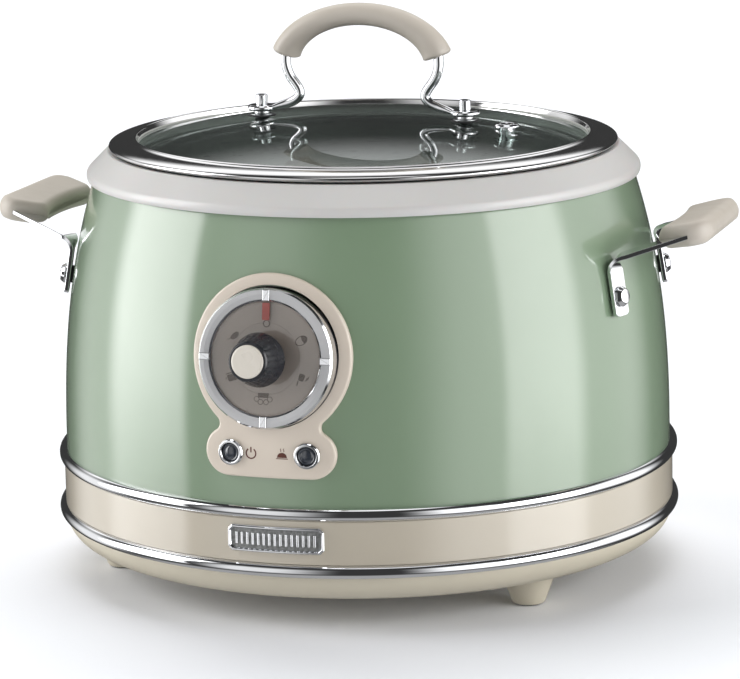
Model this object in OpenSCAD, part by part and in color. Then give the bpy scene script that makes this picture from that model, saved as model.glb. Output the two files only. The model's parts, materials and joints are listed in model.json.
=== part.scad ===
/* [Base] */
// Height of the lower trim ring's underside above the table
base_z = 26.4; // [25:0.2:29]
// Outer radius of the base pan at its top edge
pan_r = 146; // [145:0.25:146]
// Depth of the base pan below the lower trim ring
pan_depth = 13.2; // [12:0.2:15]
// Wall thickness of the base pan
pan_t = 2.4; // [2:0.1:3]
// Number of feet
foot_n = 3; // [3:1:4]
// Radius of the circle through the feet
foot_circle_r = 119.5; // [112:0.5:120]
// Angle of the first foot, from the front towards +X
foot_angle = 55.1; // [40:1:60]
/* [Trim and band] */
// Height of each chrome trim ring
trim_h = 6.1; // [5:0.1:7]
// Outer radius of the lower trim ring
lower_trim_r = 149.1; // [148:0.1:150]
// Outer radius of the upper trim ring
upper_trim_r = 148.6; // [148:0.2:149.4]
// Outer radius of the cream band
band_r = 146.3; // [146:0.1:147]
// Height of the cream band
band_h = 20.3; // [19:0.1:22]
// Length of the badge along the band
badge_w = 45; // [40:1:50]
// Height of the badge
badge_h = 12.3; // [10:0.2:13]
// Angle of the badge from the front towards +X
badge_angle = 0.9; // [-2:0.1:2]
/* [Body] */
// Outer radius of the painted body at its foot
body_r = 145; // [144.5:0.25:145.5]
// Outer radius of the painted body at its top
body_top_r = 128.2; // [127.5:0.1:129]
// Height of the painted body
body_h = 128.6; // [127:0.2:130]
// How late the body curves in, as a power
body_curve = 2.45; // [2:0.05:2.6]
// Sheet thickness of the painted body
shell_t = 1.2; // [1:0.1:1.5]
// Largest radius of the white collar
collar_r = 131.5; // [130.5:0.1:132]
/* [Pot and lid] */
// Inner radius of the cooking pot
pot_r = 110; // [108:0.5:110.5]
// Wall thickness of the cooking pot
pot_t = 1.6; // [1.2:0.1:1.8]
// Outer radius of the lid's steel rim
rim_r = 120.7; // [120:0.1:121.5]
// Radius of the sphere that the glass is part of
glass_r = 520; // [500:2:560]
// Thickness of the glass
glass_t = 4; // [3.5:0.1:4.5]
// Distance between the two bolts of the lid handle
bolt_span = 101; // [99:0.5:103]
// Distance of the steam vent from the lid's centre
vent_x = 70.8; // [68:0.2:74]
/* [Control panel] */
// Height of the dial's centre above the table
dial_z = 125.8; // [124:0.2:128]
// How far the dial leans back from upright, in degrees
dial_lean = 8.5; // [6:0.5:10]
// Radius of the round part of the panel
panel_r = 37.3; // [36.5:0.1:38.5]
// Thickness of the panel
panel_t = 2.5; // [2.2:0.1:2.8]
// Outer radius of the dial's chrome bezel
bezel_r = 31.4; // [31:0.1:31.6]
// Inner radius of the dial's chrome bezel
bezel_in = 25.5; // [25:0.1:26]
// Height of the two buttons above the table
button_z = 83; // [82:0.2:84]
// Sideways distance from the middle of the panel to each button
button_x = 17.8; // [17:0.1:18.5]
/* [Side handles] */
// Height of the handle rivets above the table
rivet_z = 140; // [138:0.5:142]
// Angle of each rivet from the handle's middle
rivet_angle = 17.6; // [17:0.1:18.5]
// Width of the handle straps
strap_w = 11; // [10:0.5:12]
// Thickness of the handle straps
strap_t = 2; // [1.6:0.1:2.2]

/* [Hidden] */
$fn = 96;

// Colours
cream = "#d5cdb6";
band_cream = "#cfc5ba";
panel_cream = "#cbbfae";
green = "#a9c4a4";
white = "#dcdbd8";
chrome = "#c9ccd0";
beige = "#c2b8aa";
dark = "#1b1c20";
taupe = "#8f837d";
metal = "#b7b9bb";

// Heights that follow from the driving dimensions
pan_z = base_z - pan_depth;
band_z = base_z + trim_h;
band_top = band_z + band_h;
body_z = band_top + trim_h;
body_top = body_z + body_h;
collar_top = body_top + 13.3;
ledge_z = collar_top - 5.6;
rim_z = collar_top - 1.5;
lip_z = collar_top + 0.8;
glass_top = body_top + 27.1;
glass_edge_r = 109.4;
tray_z = 44;
plate_z = 54;
plate_top = 61.7;
pot_z = plate_top + 0.3;
well_r = 115;
eyelet_z = glass_top + 2.1;
bolt_x = bolt_span / 2;
axis_y = 12.16;

function body_at(z) =
    body_r - (body_r - body_top_r) * pow(max(0, (z - body_z) / body_h), body_curve);
function lean_at(z) =
    atan((body_r - body_top_r) * body_curve / body_h
        * pow(max(0, (z - body_z) / body_h), body_curve - 1));
function glass_at(r) = glass_top - glass_r + sqrt(glass_r * glass_r - r * r);
function reversed(list) = [for (i = [len(list) - 1 : -1 : 0]) list[i]];
function body_line(offset_r, z0, z1, steps) =
    [for (i = [0 : steps]) let (z = z0 + (z1 - z0) * i / steps) [body_at(z) + offset_r, z]];
function arc_points(cx, cy, r, a0, a1, steps) =
    [for (i = [0 : steps]) let (a = a0 + (a1 - a0) * i / steps) [cx + r * cos(a), cy + r * sin(a)]];
function unit(v) = v / norm(v);

// A tube or bar swept along a path: rings holds one list of points for each station
module sweep(rings) {
    n = len(rings[0]);
    m = len(rings);
    sides = [for (j = [0 : m - 2]) for (i = [0 : n - 1])
        [j * n + i, j * n + (i + 1) % n, (j + 1) * n + (i + 1) % n, (j + 1) * n + i]];
    polyhedron(points = [for (ring = rings) for (p = ring) p],
        faces = concat([[for (i = [n - 1 : -1 : 0]) i]], sides,
            [[for (i = [0 : n - 1]) (m - 1) * n + i]]));
}

module ring(r_out, r_in, z0, z1) {
    translate([0, 0, z0]) difference() {
        cylinder(r = r_out, h = z1 - z0);
        translate([0, 0, -1]) cylinder(r = r_in, h = z1 - z0 + 2);
    }
}

// Local frames: +Z points out of the body and +Y points up
module dial_frame() {
    translate([0, -body_at(dial_z), dial_z]) rotate([90 - dial_lean, 0, 0]) children();
}
button_angle = asin(button_x / (body_at(button_z) + panel_t));
module button_frame(side) {
    rotate([0, 0, side * button_angle]) translate([0, -body_at(button_z) - panel_t, button_z])
        rotate([90, 0, 0]) children();
}
module rivet_frame(side, turn) {
    rotate([0, 0, side + turn]) translate([body_at(rivet_z), 0, rivet_z])
        rotate([0, 90 - lean_at(rivet_z), 0]) children();
}
inlet_z = 82;
module inlet_frame() {
    translate([0, body_at(inlet_z), inlet_z]) rotate([-90, 0, 0]) children();
}

// Base
module pan_outline(inset) {
    corner_a = 18 - inset;
    corner_b = pan_depth - inset;
    polygon(concat([[0, pan_z + inset]],
        [for (i = [0 : 14]) let (a = 90 * i / 14)
            [pan_r - 18 + corner_a * sin(a), base_z - corner_b * cos(a)]],
        [[pan_r - inset, base_z + 0.1], [0, base_z + 0.1]]));
}
module at_feet() {
    for (i = [0 : foot_n - 1])
        rotate([0, 0, foot_angle - 90 + i * 360 / foot_n]) translate([foot_circle_r, 0, 0]) children();
}
module base_pan() color(cream) difference() {
    rotate_extrude() difference() {
        pan_outline(0);
        pan_outline(pan_t);
        translate([0, base_z]) square([200, 1]);
    }
    for (row = [0 : 2]) for (i = [0 : 11]) rotate([0, 0, i * 30 + 15 * (row % 2)])
        translate([52 + row * 17, 0, pan_z - 1]) linear_extrude(pan_t + 2)
            square([11, 3.2], center = true);
    at_feet() translate([0, 0, pan_z - 1]) cylinder(r = 2.1, h = 5);
}
module feet() color(cream) at_feet() difference() {
    union() {
        translate([0, 0, 1.6]) cylinder(r1 = 7.9, r2 = 12, h = pan_z - 1.6, $fn = 48);
        translate([0, 0, 0.6]) cylinder(r1 = 7.3, r2 = 7.9, h = 1, $fn = 48);
    }
    translate([0, 0, -1]) cylinder(r = 6.3, h = 3);
    translate([0, 0, pan_z - 9]) cylinder(r = 1.7, h = 10);
}
module foot_pads() color(dark) at_feet() cylinder(r = 6.2, h = 1.9);
module foot_screws() color(metal) at_feet() {
    translate([0, 0, pan_z + pan_t]) cylinder(r = 3.6, h = 2.2);
    translate([0, 0, pan_z - 8]) cylinder(r = 1.65, h = 8 + pan_t);
}

// Trim rings with a half-round face
module trim_ring(r, z) {
    rotate_extrude($fn = 120) intersection() {
        union() {
            translate([r - trim_h / 2, z + trim_h / 2]) circle(d = trim_h, $fn = 48);
            translate([r - 8, z]) square([8 - trim_h / 2, trim_h]);
        }
        translate([r - 6.2, z]) square([6.2, trim_h]);
    }
}
module lower_trim_ring() color(chrome) trim_ring(lower_trim_r, base_z);
module upper_trim_ring() color(chrome) trim_ring(upper_trim_r, band_top);
module base_band() color(band_cream) ring(band_r, band_r - 2.2, band_z, band_top);

// Badge: a raised frame with cut corners around a recess with plain ribs
module badge_outline(inset) {
    w = badge_w / 2 - inset;
    h = badge_h / 2 - inset;
    cut = 2 - inset * 0.4;
    polygon([[-w, -h + cut], [-w + cut, -h], [w - cut, -h], [w, -h + cut],
        [w, h - cut], [w - cut, h], [-w + cut, h], [-w, h - cut]]);
}
module badge_slice(r_out, r_in) {
    rotate([0, 0, badge_angle]) intersection() {
        ring(r_out, r_in, band_z + 1, band_top - 1);
        translate([0, -r_in + 10, band_z + band_h / 2 + 1.2]) rotate([90, 0, 0]) linear_extrude(20) children();
    }
}
module badge_plate() color(chrome) {
    badge_slice(band_r + 1, band_r) badge_outline(0);
    badge_slice(band_r + 2.2, band_r + 1) difference() {
        badge_outline(0);
        badge_outline(1.5);
    }
    badge_slice(band_r + 1.7, band_r + 1) for (i = [-7 : 7])
        translate([i * 2.6, 0]) square([1.1, badge_h - 5.4], center = true);
}

// Painted steel body
module dial_hole(r) { dial_frame() translate([0, 0, -14]) cylinder(r = r, h = 34); }
module button_holes(r) {
    for (side = [-1, 1]) button_frame(side) translate([0, 0, -8]) cylinder(r = r, h = 12, $fn = 48);
}
module at_rivets() {
    for (side = [0, 180]) for (turn = [-1, 1]) rivet_frame(side, turn * rivet_angle) children();
}
module body_shell() color(green) difference() {
    rotate_extrude($fn = 120) polygon(concat(body_line(0, body_z, body_top, 24),
        reversed(body_line(-shell_t, body_z, body_top, 24))));
    dial_hole(32);
    button_holes(7);
    at_rivets() translate([0, 0, -5]) cylinder(r = 2.1, h = 10, $fn = 32);
    translate([-14.3, 120, inlet_z - 10.7]) cube([28.6, 40, 21.4]);
    for (side = [-1, 1]) translate([side * 20, 120, inlet_z]) rotate([-90, 0, 0])
        cylinder(r = 1.7, h = 40, $fn = 32);
}
module top_collar() color(white) rotate_extrude($fn = 120) {
    bevel_top = [collar_r - 9.4, collar_top - 0.4];
    difference() {
        polygon(concat([[well_r - 1.8, body_top - 1.5], [well_r - 1.8, ledge_z], [118.7, ledge_z],
            [118.7, collar_top], [collar_r - 10, collar_top], bevel_top],
            arc_points(collar_r - 4, body_top + 1.9, 4, 42, -28, 8),
            [[body_top_r + 0.2, body_top], [body_top_r - 1.6, body_top],
            [body_top_r - 1.6, body_top - 6], [body_top_r - 3.6, body_top - 6],
            [body_top_r - 3.6, body_top - 1.5]]));
        polygon([[well_r + 1.5, body_top - 3], [well_r + 1.5, ledge_z - 2.4],
            [119.5, ledge_z - 2.4], [collar_r - 9.4, collar_top - 3.2],
            [collar_r - 3, body_top + 3.2], [body_top_r - 1.8, body_top + 2],
            [body_top_r - 5.6, body_top + 2], [body_top_r - 5.6, body_top - 3]]);
    }
}

// Keyhole-shaped panel that follows the body
bar_r = 11;
bar_x = 19.7;
neck_r = 3.5;
function neck_arc(side) =
    let (
        c1 = [0, dial_z],
        c2 = [side * bar_x, button_z],
        d = norm(c2 - c1),
        r1 = panel_r + neck_r,
        r2 = bar_r + neck_r,
        along = (r1 * r1 - r2 * r2 + d * d) / (2 * d),
        away = side * sqrt(r1 * r1 - along * along),
        u = (c2 - c1) / d,
        c3 = c1 + along * u + away * [-u[1], u[0]],
        a1 = atan2(c1[1] - c3[1], c1[0] - c3[0]),
        a2 = atan2(c2[1] - c3[1], c2[0] - c3[0]),
        turn = (a2 - a1 + 540) % 360 - 180)
    arc_points(c3[0], c3[1], neck_r + 0.04, a1, a1 + turn, 10);
module panel_block() {
    low = button_z - bar_r + 0.03;
    translate([0, dial_z]) cylinder(r = panel_r, h = 80, $fn = 120);
    for (side = [-1, 1]) translate([side * bar_x, button_z]) cylinder(r = bar_r, h = 80, $fn = 64);
    linear_extrude(80)
        polygon(concat(neck_arc(1), [[bar_x, low], [-bar_x, low]], reversed(neck_arc(-1))));
}
module control_panel() color(panel_cream) difference() {
    intersection() {
        rotate_extrude($fn = 120) polygon(concat(body_line(panel_t, body_z + 8, body_top - 8, 22),
            reversed(body_line(0.12, body_z + 8, body_top - 8, 22))));
        translate([0, -100, 0]) rotate([90, 0, 0]) panel_block();
    }
    dial_hole(bezel_r + 0.3);
    button_holes(5.05);
}

// Dial
module dial_bezel() color(chrome) dial_frame() {
    difference() {
        union() {
            translate([0, 0, 1]) cylinder(r = bezel_r, h = 6.2);
            translate([0, 0, 7.2]) cylinder(r1 = bezel_r, r2 = bezel_r - 0.8, h = 0.8);
            for (i = [0 : 3]) rotate([0, 0, i * 90])
                translate([bezel_in + 0.2, -1.6, 7.9]) cube([5.2, 3.2, 0.6]);
        }
        translate([0, 0, 0]) cylinder(r = 29, h = 6.4);
        translate([0, 0, 0]) cylinder(r = bezel_in, h = 20);
    }
}
module dial_housing() color(dark) dial_frame() {
    ring(bezel_r, 27, -8, 1);
    ring(28.9, 27, 1, 4.9);
    ring(35.5, bezel_r, -8, -6.6);
    ring(27, 5, -8, -6.2);
}
module dial_face() color(taupe) dial_frame() ring(28.8, 4, 4.9, 6.2);
module rotary_switch() color(dark) dial_frame() difference() {
    union() {
        translate([-11, -11, -22]) cube([22, 22, 14]);
        translate([0, 0, -8]) cylinder(r = 4.8, h = 5.5, $fn = 48);
    }
    translate([0, 0, -18]) cylinder(r = 3.05, h = 20);
}
module knob_shaft() color(metal) dial_frame() translate([0, 0, -17.5]) cylinder(r = 3, h = 42);
module knob_body() color(dark) dial_frame() difference() {
    rotate_extrude() polygon([[0, 8], [9.3, 8], [9.8, 8.8], [11.9, 14.6], [12.2, 15.8],
        [12, 16.8], [8.9, 30], [8.3, 30.9], [0, 30.9]]);
    translate([0, 0, 0]) cylinder(r = 3, h = 24.5);
    translate([0, 0, 29.6]) cylinder(r = 7.45, h = 3);
}
module knob_cap() color(panel_cream) dial_frame() {
    translate([0, 0, 29.6]) cylinder(r = 7.4, h = 1.6);
    translate([0, 0, 31.2]) cylinder(r1 = 7.4, r2 = 6.8, h = 0.5);
}
module pointer_disc() color("#e8e8e8", 0.4) dial_frame() {
    ring(25.1, 3, 6.5, 7.3);
    ring(5, 3, 7.3, 8);
}
module pointer_needle() color("#9c3a34") dial_frame()
    translate([-1.7, 17.2, 7.3]) cube([3.4, 7.7, 0.5]);

// Push buttons
module button_bezels() color(chrome) for (side = [-1, 1]) button_frame(side) {
    difference() {
        union() {
            translate([0, 0, 0.2]) cylinder(r = 6.1, h = 1, $fn = 64);
            translate([0, 0, 1.2]) cylinder(r1 = 6.1, r2 = 5.2, h = 0.7, $fn = 64);
            translate([0, 0, -5]) cylinder(r = 5, h = 5.3, $fn = 64);
        }
        translate([0, 0, -6]) cylinder(r = 4.25, h = 9, $fn = 64);
    }
}
module push_button(side) button_frame(side) {
    translate([0, 0, -5.5]) cylinder(r = 4, h = 6.4, $fn = 64);
    translate([0, 0, 0.9]) intersection() {
        cylinder(r = 4, h = 1, $fn = 64);
        translate([0, 0, -15.6]) sphere(r = 16.3, $fn = 96);
    }
    translate([0, 0, -7]) cylinder(r = 4.7, h = 1.5, $fn = 48);
    translate([0, 0, -11]) cylinder(r = 1.8, h = 4, $fn = 32);
}
module power_button() color(dark) push_button(-1);
module keep_warm_button() color(dark) push_button(1);

function helix_rings(r, wire, z0, z1, turns, per_turn, sides) =
    [for (i = [0 : turns * per_turn]) let (
        a = 360 * i / per_turn,
        rise = (z1 - z0 - wire) / (turns * per_turn),
        centre = [r * cos(a), r * sin(a), z0 + wire / 2 + rise * i])
        [for (k = [0 : sides - 1]) let (b = 360 * k / sides)
            centre + wire / 2 * (cos(b) * [cos(a), sin(a), 0] + sin(b) * [0, 0, 1])]];
module coil(r, wire, z0, z1, turns) sweep(helix_rings(r, wire, z0, z1, turns, 14, 6));
module power_button_spring() color(metal) button_frame(-1) coil(3.4, 0.5, -12.9, -7.1, 4);
module keep_warm_button_spring() color(metal) button_frame(1) coil(3.4, 0.5, -12.9, -7.1, 4);
module micro_switches() color(dark) for (side = [-1, 1]) button_frame(side) difference() {
    translate([-6, -6, -18]) cube([12, 12, 5]);
    translate([0, 0, -16]) cylinder(r = 2.1, h = 4, $fn = 32);
}
board_y = -body_at(button_z) - panel_t + 20.2;
module control_board() color("#3c6b45") {
    translate([-32, board_y, button_z - 14]) cube([64, 1.6, 26]);
    for (side = [-1, 1]) translate([side * 27, board_y - 2, button_z - 8]) cube([3, 2, 5]);
}

// Side handles: straps riveted to the body and a moulded grip between their ends
strap_gap = 1.2;
grip_x = 162;
grip_z = 167.8;
grip_tilt = 12;
arm_end = [167, 31.4, 168.7];
function strap_path() =
    let (
        t = rivet_angle,
        s = lean_at(rivet_z),
        out = [cos(s) * cos(t), cos(s) * sin(t), sin(s)],
        up = [-sin(s) * cos(t), -sin(s) * sin(t), cos(s)],
        middle = [body_at(rivet_z) * cos(t), body_at(rivet_z) * sin(t), rivet_z]
            + (strap_gap + strap_t / 2) * out,
        side = [-sin(t), cos(t), 0],
        foot_top = middle + 12 * up,
        corner = middle + 17.5 * up,
        arm = unit(arm_end - corner),
        arm_side = unit(cross([0, 0, 1], arm)),
        arm_start = corner + 5.5 * arm)
    concat(
        [[middle - 8.8 * up, side, 1], [middle, side, 1], [foot_top, side, 1]],
        [for (i = [1 : 6]) let (k = i / 7)
            [(1 - k) * (1 - k) * foot_top + 2 * k * (1 - k) * corner + k * k * arm_start,
                unit((1 - k) * side + k * arm_side), 1]],
        [[arm_start, arm_side, 1], [arm_end - 5 * arm, arm_side, 0.86], [arm_end, arm_side, 0.82]]);
function strap_rings(grow) =
    let (path = strap_path(), n = len(path))
    [for (i = [0 : n - 1]) let (
        ahead = path[min(i + 1, n - 1)][0] - path[max(i - 1, 0)][0],
        along = unit(ahead),
        side = unit(path[i][1] - (path[i][1] * along) * along),
        face = cross(along, side),
        w = strap_w / 2 * path[i][2] + grow,
        t = strap_t / 2 + grow,
        over = i == n - 1 ? grow * along : [0, 0, 0])
        [for (c = [[-1, 0.7], [-0.9, 1], [0.9, 1], [1, 0.7], [1, -0.7], [0.9, -1], [-0.9, -1], [-1, -0.7]])
            path[i][0] + over + c[0] * w * side + c[1] * t * face]];
module straps(grow) {
    for (flip = [0, 1]) mirror([0, flip, 0]) sweep(strap_rings(grow));
}
module strap_pair() difference() {
    straps(0);
    for (turn = [-1, 1]) rivet_frame(0, turn * rivet_angle) cylinder(r = 2.1, h = 8, $fn = 32);
}
module right_handle_straps() color(chrome) strap_pair();
module left_handle_straps() color(chrome) mirror([1, 0, 0]) strap_pair();
module handle_spacers() color(dark) at_rivets() difference() {
    cylinder(r = 4.2, h = strap_gap, $fn = 48);
    translate([0, 0, -1]) cylinder(r = 2.1, h = 4, $fn = 32);
}
module handle_rivets() color(chrome) at_rivets() {
    translate([0, 0, -shell_t - 1.75]) cylinder(r = 4, h = 1.6, $fn = 48);
    translate([0, 0, -shell_t - 0.2]) cylinder(r = 2.05, h = shell_t + 0.2 + strap_gap + strap_t, $fn = 32);
    translate([0, 0, strap_gap + strap_t]) cylinder(r1 = 4.6, r2 = 4.75, h = 0.8, $fn = 48);
    translate([0, 0, strap_gap + strap_t + 0.8]) cylinder(r1 = 4.75, r2 = 3.6, h = 1.9, $fn = 48);
    translate([0, 0, strap_gap + strap_t + 2.7]) cylinder(r1 = 3.6, r2 = 1.6, h = 0.5, $fn = 48);
}
// The grip is built of sections from its inner edge to its outer edge
grip_half = 37;
grip_in = -13.5;
grip_out = 14;
function grip_length(u) =
    u < 4 ? grip_half - 7.5 * (4 - u) / 17.5
        : grip_half - 12 + 12 * sqrt(max(0, 1 - pow((u - 4) / 10.3, 2)));
function grip_thick(u) =
    let (from_edge = min(u - grip_in, grip_out - u))
    from_edge > 5.5 ? 5.5 : 0.9 + 4.6 * sqrt(max(0, 1 - pow((5.5 - from_edge) / 5.5, 2)));
function grip_ring(u) =
    let (
        half = grip_length(u),
        thick = grip_thick(u),
        corner = min(4, thick),
        hollow = 5 * max(0, (3 - u) / (3 - grip_in)))
    [for (q = [0 : 3]) for (k = [0 : 6]) let (
        a = -90 * q - 15 * k,
        y = (q == 0 || q == 3 ? 1 : -1) * (half - 4) + 4 * cos(a),
        w = (q > 1 ? 1 : -1) * (thick - corner) + corner * sin(a),
        out = u + hollow * (1 - pow(y / grip_half, 2)))
        [grip_x + out * cos(grip_tilt) - w * sin(grip_tilt), y,
            grip_z + out * sin(grip_tilt) + w * cos(grip_tilt)]];
grip_steps = [0, 0.4, 1.2, 2.4, 4, 5.6, 9, 13, 17, 19.5, 21.5, 23, 24.6, 25.9, 26.8, 27.3, 27.5];
module grip_solid() difference() {
    sweep([for (d = grip_steps) grip_ring(grip_in + d)]);
    straps(0.06);
}
module right_handle_grip() color(beige) grip_solid();
module left_handle_grip() color(beige) mirror([1, 0, 0]) grip_solid();

// Inside the body
module pot_well() color(metal) difference() {
    union() {
        ring(well_r + 0.8, well_r, tray_z + 1.2, body_top - 3.6);
        ring(well_r + 4.8, well_r, body_top - 4.4, body_top - 3.6);
        ring(well_r + 4.8, well_r, tray_z + 1.2, tray_z + 2);
    }
    for (i = [0 : 7]) rotate([0, 0, i * 45 + 20]) translate([well_r - 3, -4, 66]) cube([6, 8, 2.5]);
}
module side_heater_band() color("#8c8f92") {
    ring(well_r + 2, well_r + 0.8, 96, 118);
    for (a = [-95, -85]) rotate([0, 0, a]) translate([well_r + 2, -2, 104]) cube([4, 4, 6]);
}
module chassis_tray() color(metal) difference() {
    union() {
        ring(127, 20, tray_z, tray_z + 1.2);
        ring(127, 125.8, pan_z + pan_t + 3, tray_z);
        for (i = [0 : 2]) rotate([0, 0, i * 120 + 30]) translate([62, 0, tray_z + 1.2])
            cylinder(r = 5, h = plate_z - tray_z - 1.2, $fn = 48);
    }
    for (i = [0 : 5]) rotate([0, 0, i * 60]) translate([88, 0, tray_z - 1]) cylinder(r = 7, h = 4, $fn = 48);
    for (i = [0 : 2]) rotate([0, 0, i * 120 + 30]) translate([62, 0, tray_z - 1])
        cylinder(r = 2.1, h = plate_z, $fn = 32);
    for (i = [0 : 7]) rotate([0, 0, i * 45 + 10]) translate([120, -6, pan_z + 12]) cube([12, 12, 9]);
}
module heater_plate() color("#c8cacc") difference() {
    union() {
        translate([0, 0, plate_z + 4]) cylinder(r = 84, h = plate_top - plate_z - 4);
        ring(78, 60, plate_z, plate_z + 4);
    }
    translate([0, 0, plate_z - 1]) cylinder(r = 18, h = 20);
    rotate_extrude() translate([70, plate_z + 1]) circle(r = 3.3, $fn = 48);
    for (i = [0 : 2]) rotate([0, 0, i * 120 + 30]) translate([62, 0, plate_z - 1])
        cylinder(r = 1.7, h = 5, $fn = 32);
}
module heating_element() color("#7d7f80") {
    difference() {
        rotate_extrude() translate([70, plate_z + 1]) circle(r = 3.25, $fn = 48);
        translate([0, 0, plate_z]) rotate([0, 0, 80]) linear_extrude(20, center = true)
            polygon([[0, 0], [90, -7], [90, 7]]);
    }
    for (a = [73, 87]) rotate([0, 0, a]) translate([70, 0, plate_z - 7.5])
        cylinder(r = 1.5, h = 5.3, $fn = 32);
}
module plate_screws() color(metal) for (i = [0 : 2]) rotate([0, 0, i * 120 + 30]) translate([62, 0, 0]) {
    translate([0, 0, tray_z - 2.2]) cylinder(r = 3.8, h = 2.2, $fn = 48);
    translate([0, 0, tray_z]) cylinder(r = 1.65, h = plate_z + 3.5 - tray_z, $fn = 32);
}

// Spring-loaded temperature sensor in the middle of the heater plate
module sensor_cup() color("#c8cacc") difference() {
    union() {
        translate([0, 0, plate_top - 9.7]) cylinder(r = 16, h = 9.7);
        translate([0, 0, plate_top - 10.7]) cylinder(r = 17.2, h = 1);
    }
    translate([0, 0, plate_top - 12]) cylinder(r = 14.8, h = 11);
}
module sensor_spring() color(metal) coil(12.6, 1.1, tray_z + 2.4, plate_top - 1.05, 5);
module sensor_guide() color(metal) {
    ring(26, 10.8, tray_z + 1.2, tray_z + 2.4);
    ring(11.6, 10.8, tray_z + 2.4, tray_z + 9);
    ring(11.6, 4, tray_z + 8.2, tray_z + 9);
}
module thermal_fuse() color("#e0dccb") {
    translate([34, -4, tray_z + 1.2]) cube([30, 8, 5]);
    for (x = [30, 64]) translate([x, -1.5, tray_z + 3]) cube([4, 3, 1]);
}

// Electronics on the base pan
board_z = pan_z + pan_t + 6;
module power_board() color("#3c6b45") {
    translate([-45, 8, board_z]) cube([90, 66, 1.6]);
    for (x = [-40, 40]) for (y = [13, 69]) translate([x, y, pan_z + pan_t]) cylinder(r = 3, h = 6, $fn = 32);
}
module power_relay() color("#2b4a78") translate([-38, 40, board_z + 1.6]) cube([20, 16, 15]);
module transformer() color("#c9a53f") {
    translate([4, 30, board_z + 1.6]) cube([30, 26, 14]);
    translate([9, 26, board_z + 3.6]) cube([20, 4, 10]);
    translate([9, 56, board_z + 3.6]) cube([20, 4, 10]);
}

// Appliance inlet at the back, with three flat pins
module inlet_outline(w, h, cut) {
    polygon([[-w, -h], [w, -h], [w, h - cut], [w - cut, h], [-w + cut, h], [-w, h - cut]]);
}
module power_inlet() color(dark) inlet_frame() rotate([0, 0, 180]) difference() {
    union() {
        translate([0, 0, 1.3]) linear_extrude(2) union() {
            square([29, 23], center = true);
            for (side = [-1, 1]) translate([side * 20, 0]) circle(r = 5.5, $fn = 48);
            square([40, 11], center = true);
        }
        translate([0, 0, -20]) linear_extrude(21.4) inlet_outline(13.6, 10, 5);
    }
    translate([0, 0, -16.7]) linear_extrude(30) inlet_outline(12, 8, 4.2);
    for (side = [-1, 1]) translate([side * 20, 0, 0]) cylinder(r = 1.7, h = 8, $fn = 32);
    for (p = [[-7, -2], [7, -2], [0, 2]]) translate([p[0] - 2, p[1] - 1, -25]) cube([4, 2, 20]);
}
module inlet_pins() color(metal) inlet_frame() rotate([0, 0, 180])
    for (p = [[-7, -2], [7, -2], [0, 2]]) translate([p[0] - 2, p[1] - 1, -25]) cube([4, 2, 23.5]);
module inlet_screws() color(metal) inlet_frame() for (side = [-1, 1]) translate([side * 20, 0, 0]) {
    translate([0, 0, 3.3]) cylinder(r = 3, h = 1.6, $fn = 48);
    translate([0, 0, -5.5]) cylinder(r = 1.6, h = 8.8, $fn = 32);
}

// Cooking pot
module inner_pot() color("#b9b8b4") rotate_extrude($fn = 120) {
    out = pot_r + pot_t;
    bend = 14;
    difference() {
        union() {
            translate([0, pot_z]) square([out - bend, bend]);
            translate([0, pot_z + bend]) square([out, ledge_z + 0.3 - pot_z - bend]);
            translate([out - bend, pot_z + bend]) circle(r = bend, $fn = 64);
            translate([pot_r, ledge_z + 0.3]) square([7.4, 1.2]);
            translate([pot_r + 7.4, ledge_z + 0.9]) circle(r = 0.6, $fn = 32);
        }
        translate([-1, pot_z + pot_t]) square([pot_r - bend + pot_t + 1, bend]);
        translate([-1, pot_z + bend]) square([pot_r + 1, 200]);
        translate([out - bend, pot_z + bend]) circle(r = bend - pot_t, $fn = 64);
        translate([-200, pot_z - 1]) square([200, 300]);
    }
}

// Lid: domed glass held in a rolled steel rim with a silicone gasket
module lid_glass() color("#b8cfcb", 0.45) difference() {
    rotate_extrude($fn = 120) intersection() {
        difference() {
            translate([0, glass_top - glass_r]) circle(r = glass_r, $fn = 720);
            translate([0, glass_top - glass_r]) circle(r = glass_r - glass_t, $fn = 720);
        }
        translate([0, 150]) square([glass_edge_r, 150]);
    }
    for (side = [-1, 1]) translate([side * bolt_x, 0, 150]) cylinder(r = 3.4, h = 100, $fn = 48);
    translate([vent_x, 0, 150]) cylinder(r = 4.1, h = 100, $fn = 48);
}
gasket_t = 0.9;
edge_top = glass_at(107);
module lid_gasket() color("#e6e6e2") rotate_extrude($fn = 120) {
    top = glass_at(glass_edge_r);
    polygon([[glass_edge_r + 0.05, top - glass_t - 0.1], [107, edge_top - glass_t - 0.1],
        [107, edge_top - glass_t - gasket_t - 0.1], [glass_edge_r + gasket_t, top - glass_t - gasket_t - 0.1],
        [glass_edge_r + gasket_t, top + gasket_t], [107, edge_top + gasket_t], [107, edge_top + 0.1],
        [glass_edge_r + 0.05, top + 0.1]]);
}
module lid_rim() color(chrome) rotate_extrude($fn = 120) {
    wall = glass_edge_r + gasket_t + 0.05;
    top = glass_at(glass_edge_r);
    low = top - glass_t - gasket_t - 0.15;
    crest = rim_z + 7.5;
    polygon(concat([[107, edge_top + gasket_t + 0.05], [wall, top + gasket_t + 0.05], [wall, low],
        [107, low], [107, low - 0.8], [wall + 0.7, low - 0.8], [wall + 0.7, rim_z + 2.6],
        [117.5, lip_z + 0.6], [118.4, lip_z], [rim_r - 0.6, lip_z]],
        arc_points(rim_r - 1.2, lip_z + 1.3, 1.2, -40, 55, 5),
        [[118.6, rim_z + 5.2], [116, rim_z + 5.9], [113.4, rim_z + 6.3],
        [111.2, rim_z + 6.5], [109.8, crest - 0.2]],
        arc_points(108.6, crest - 0.9, 0.9, 60, 180, 6)));
}
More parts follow.
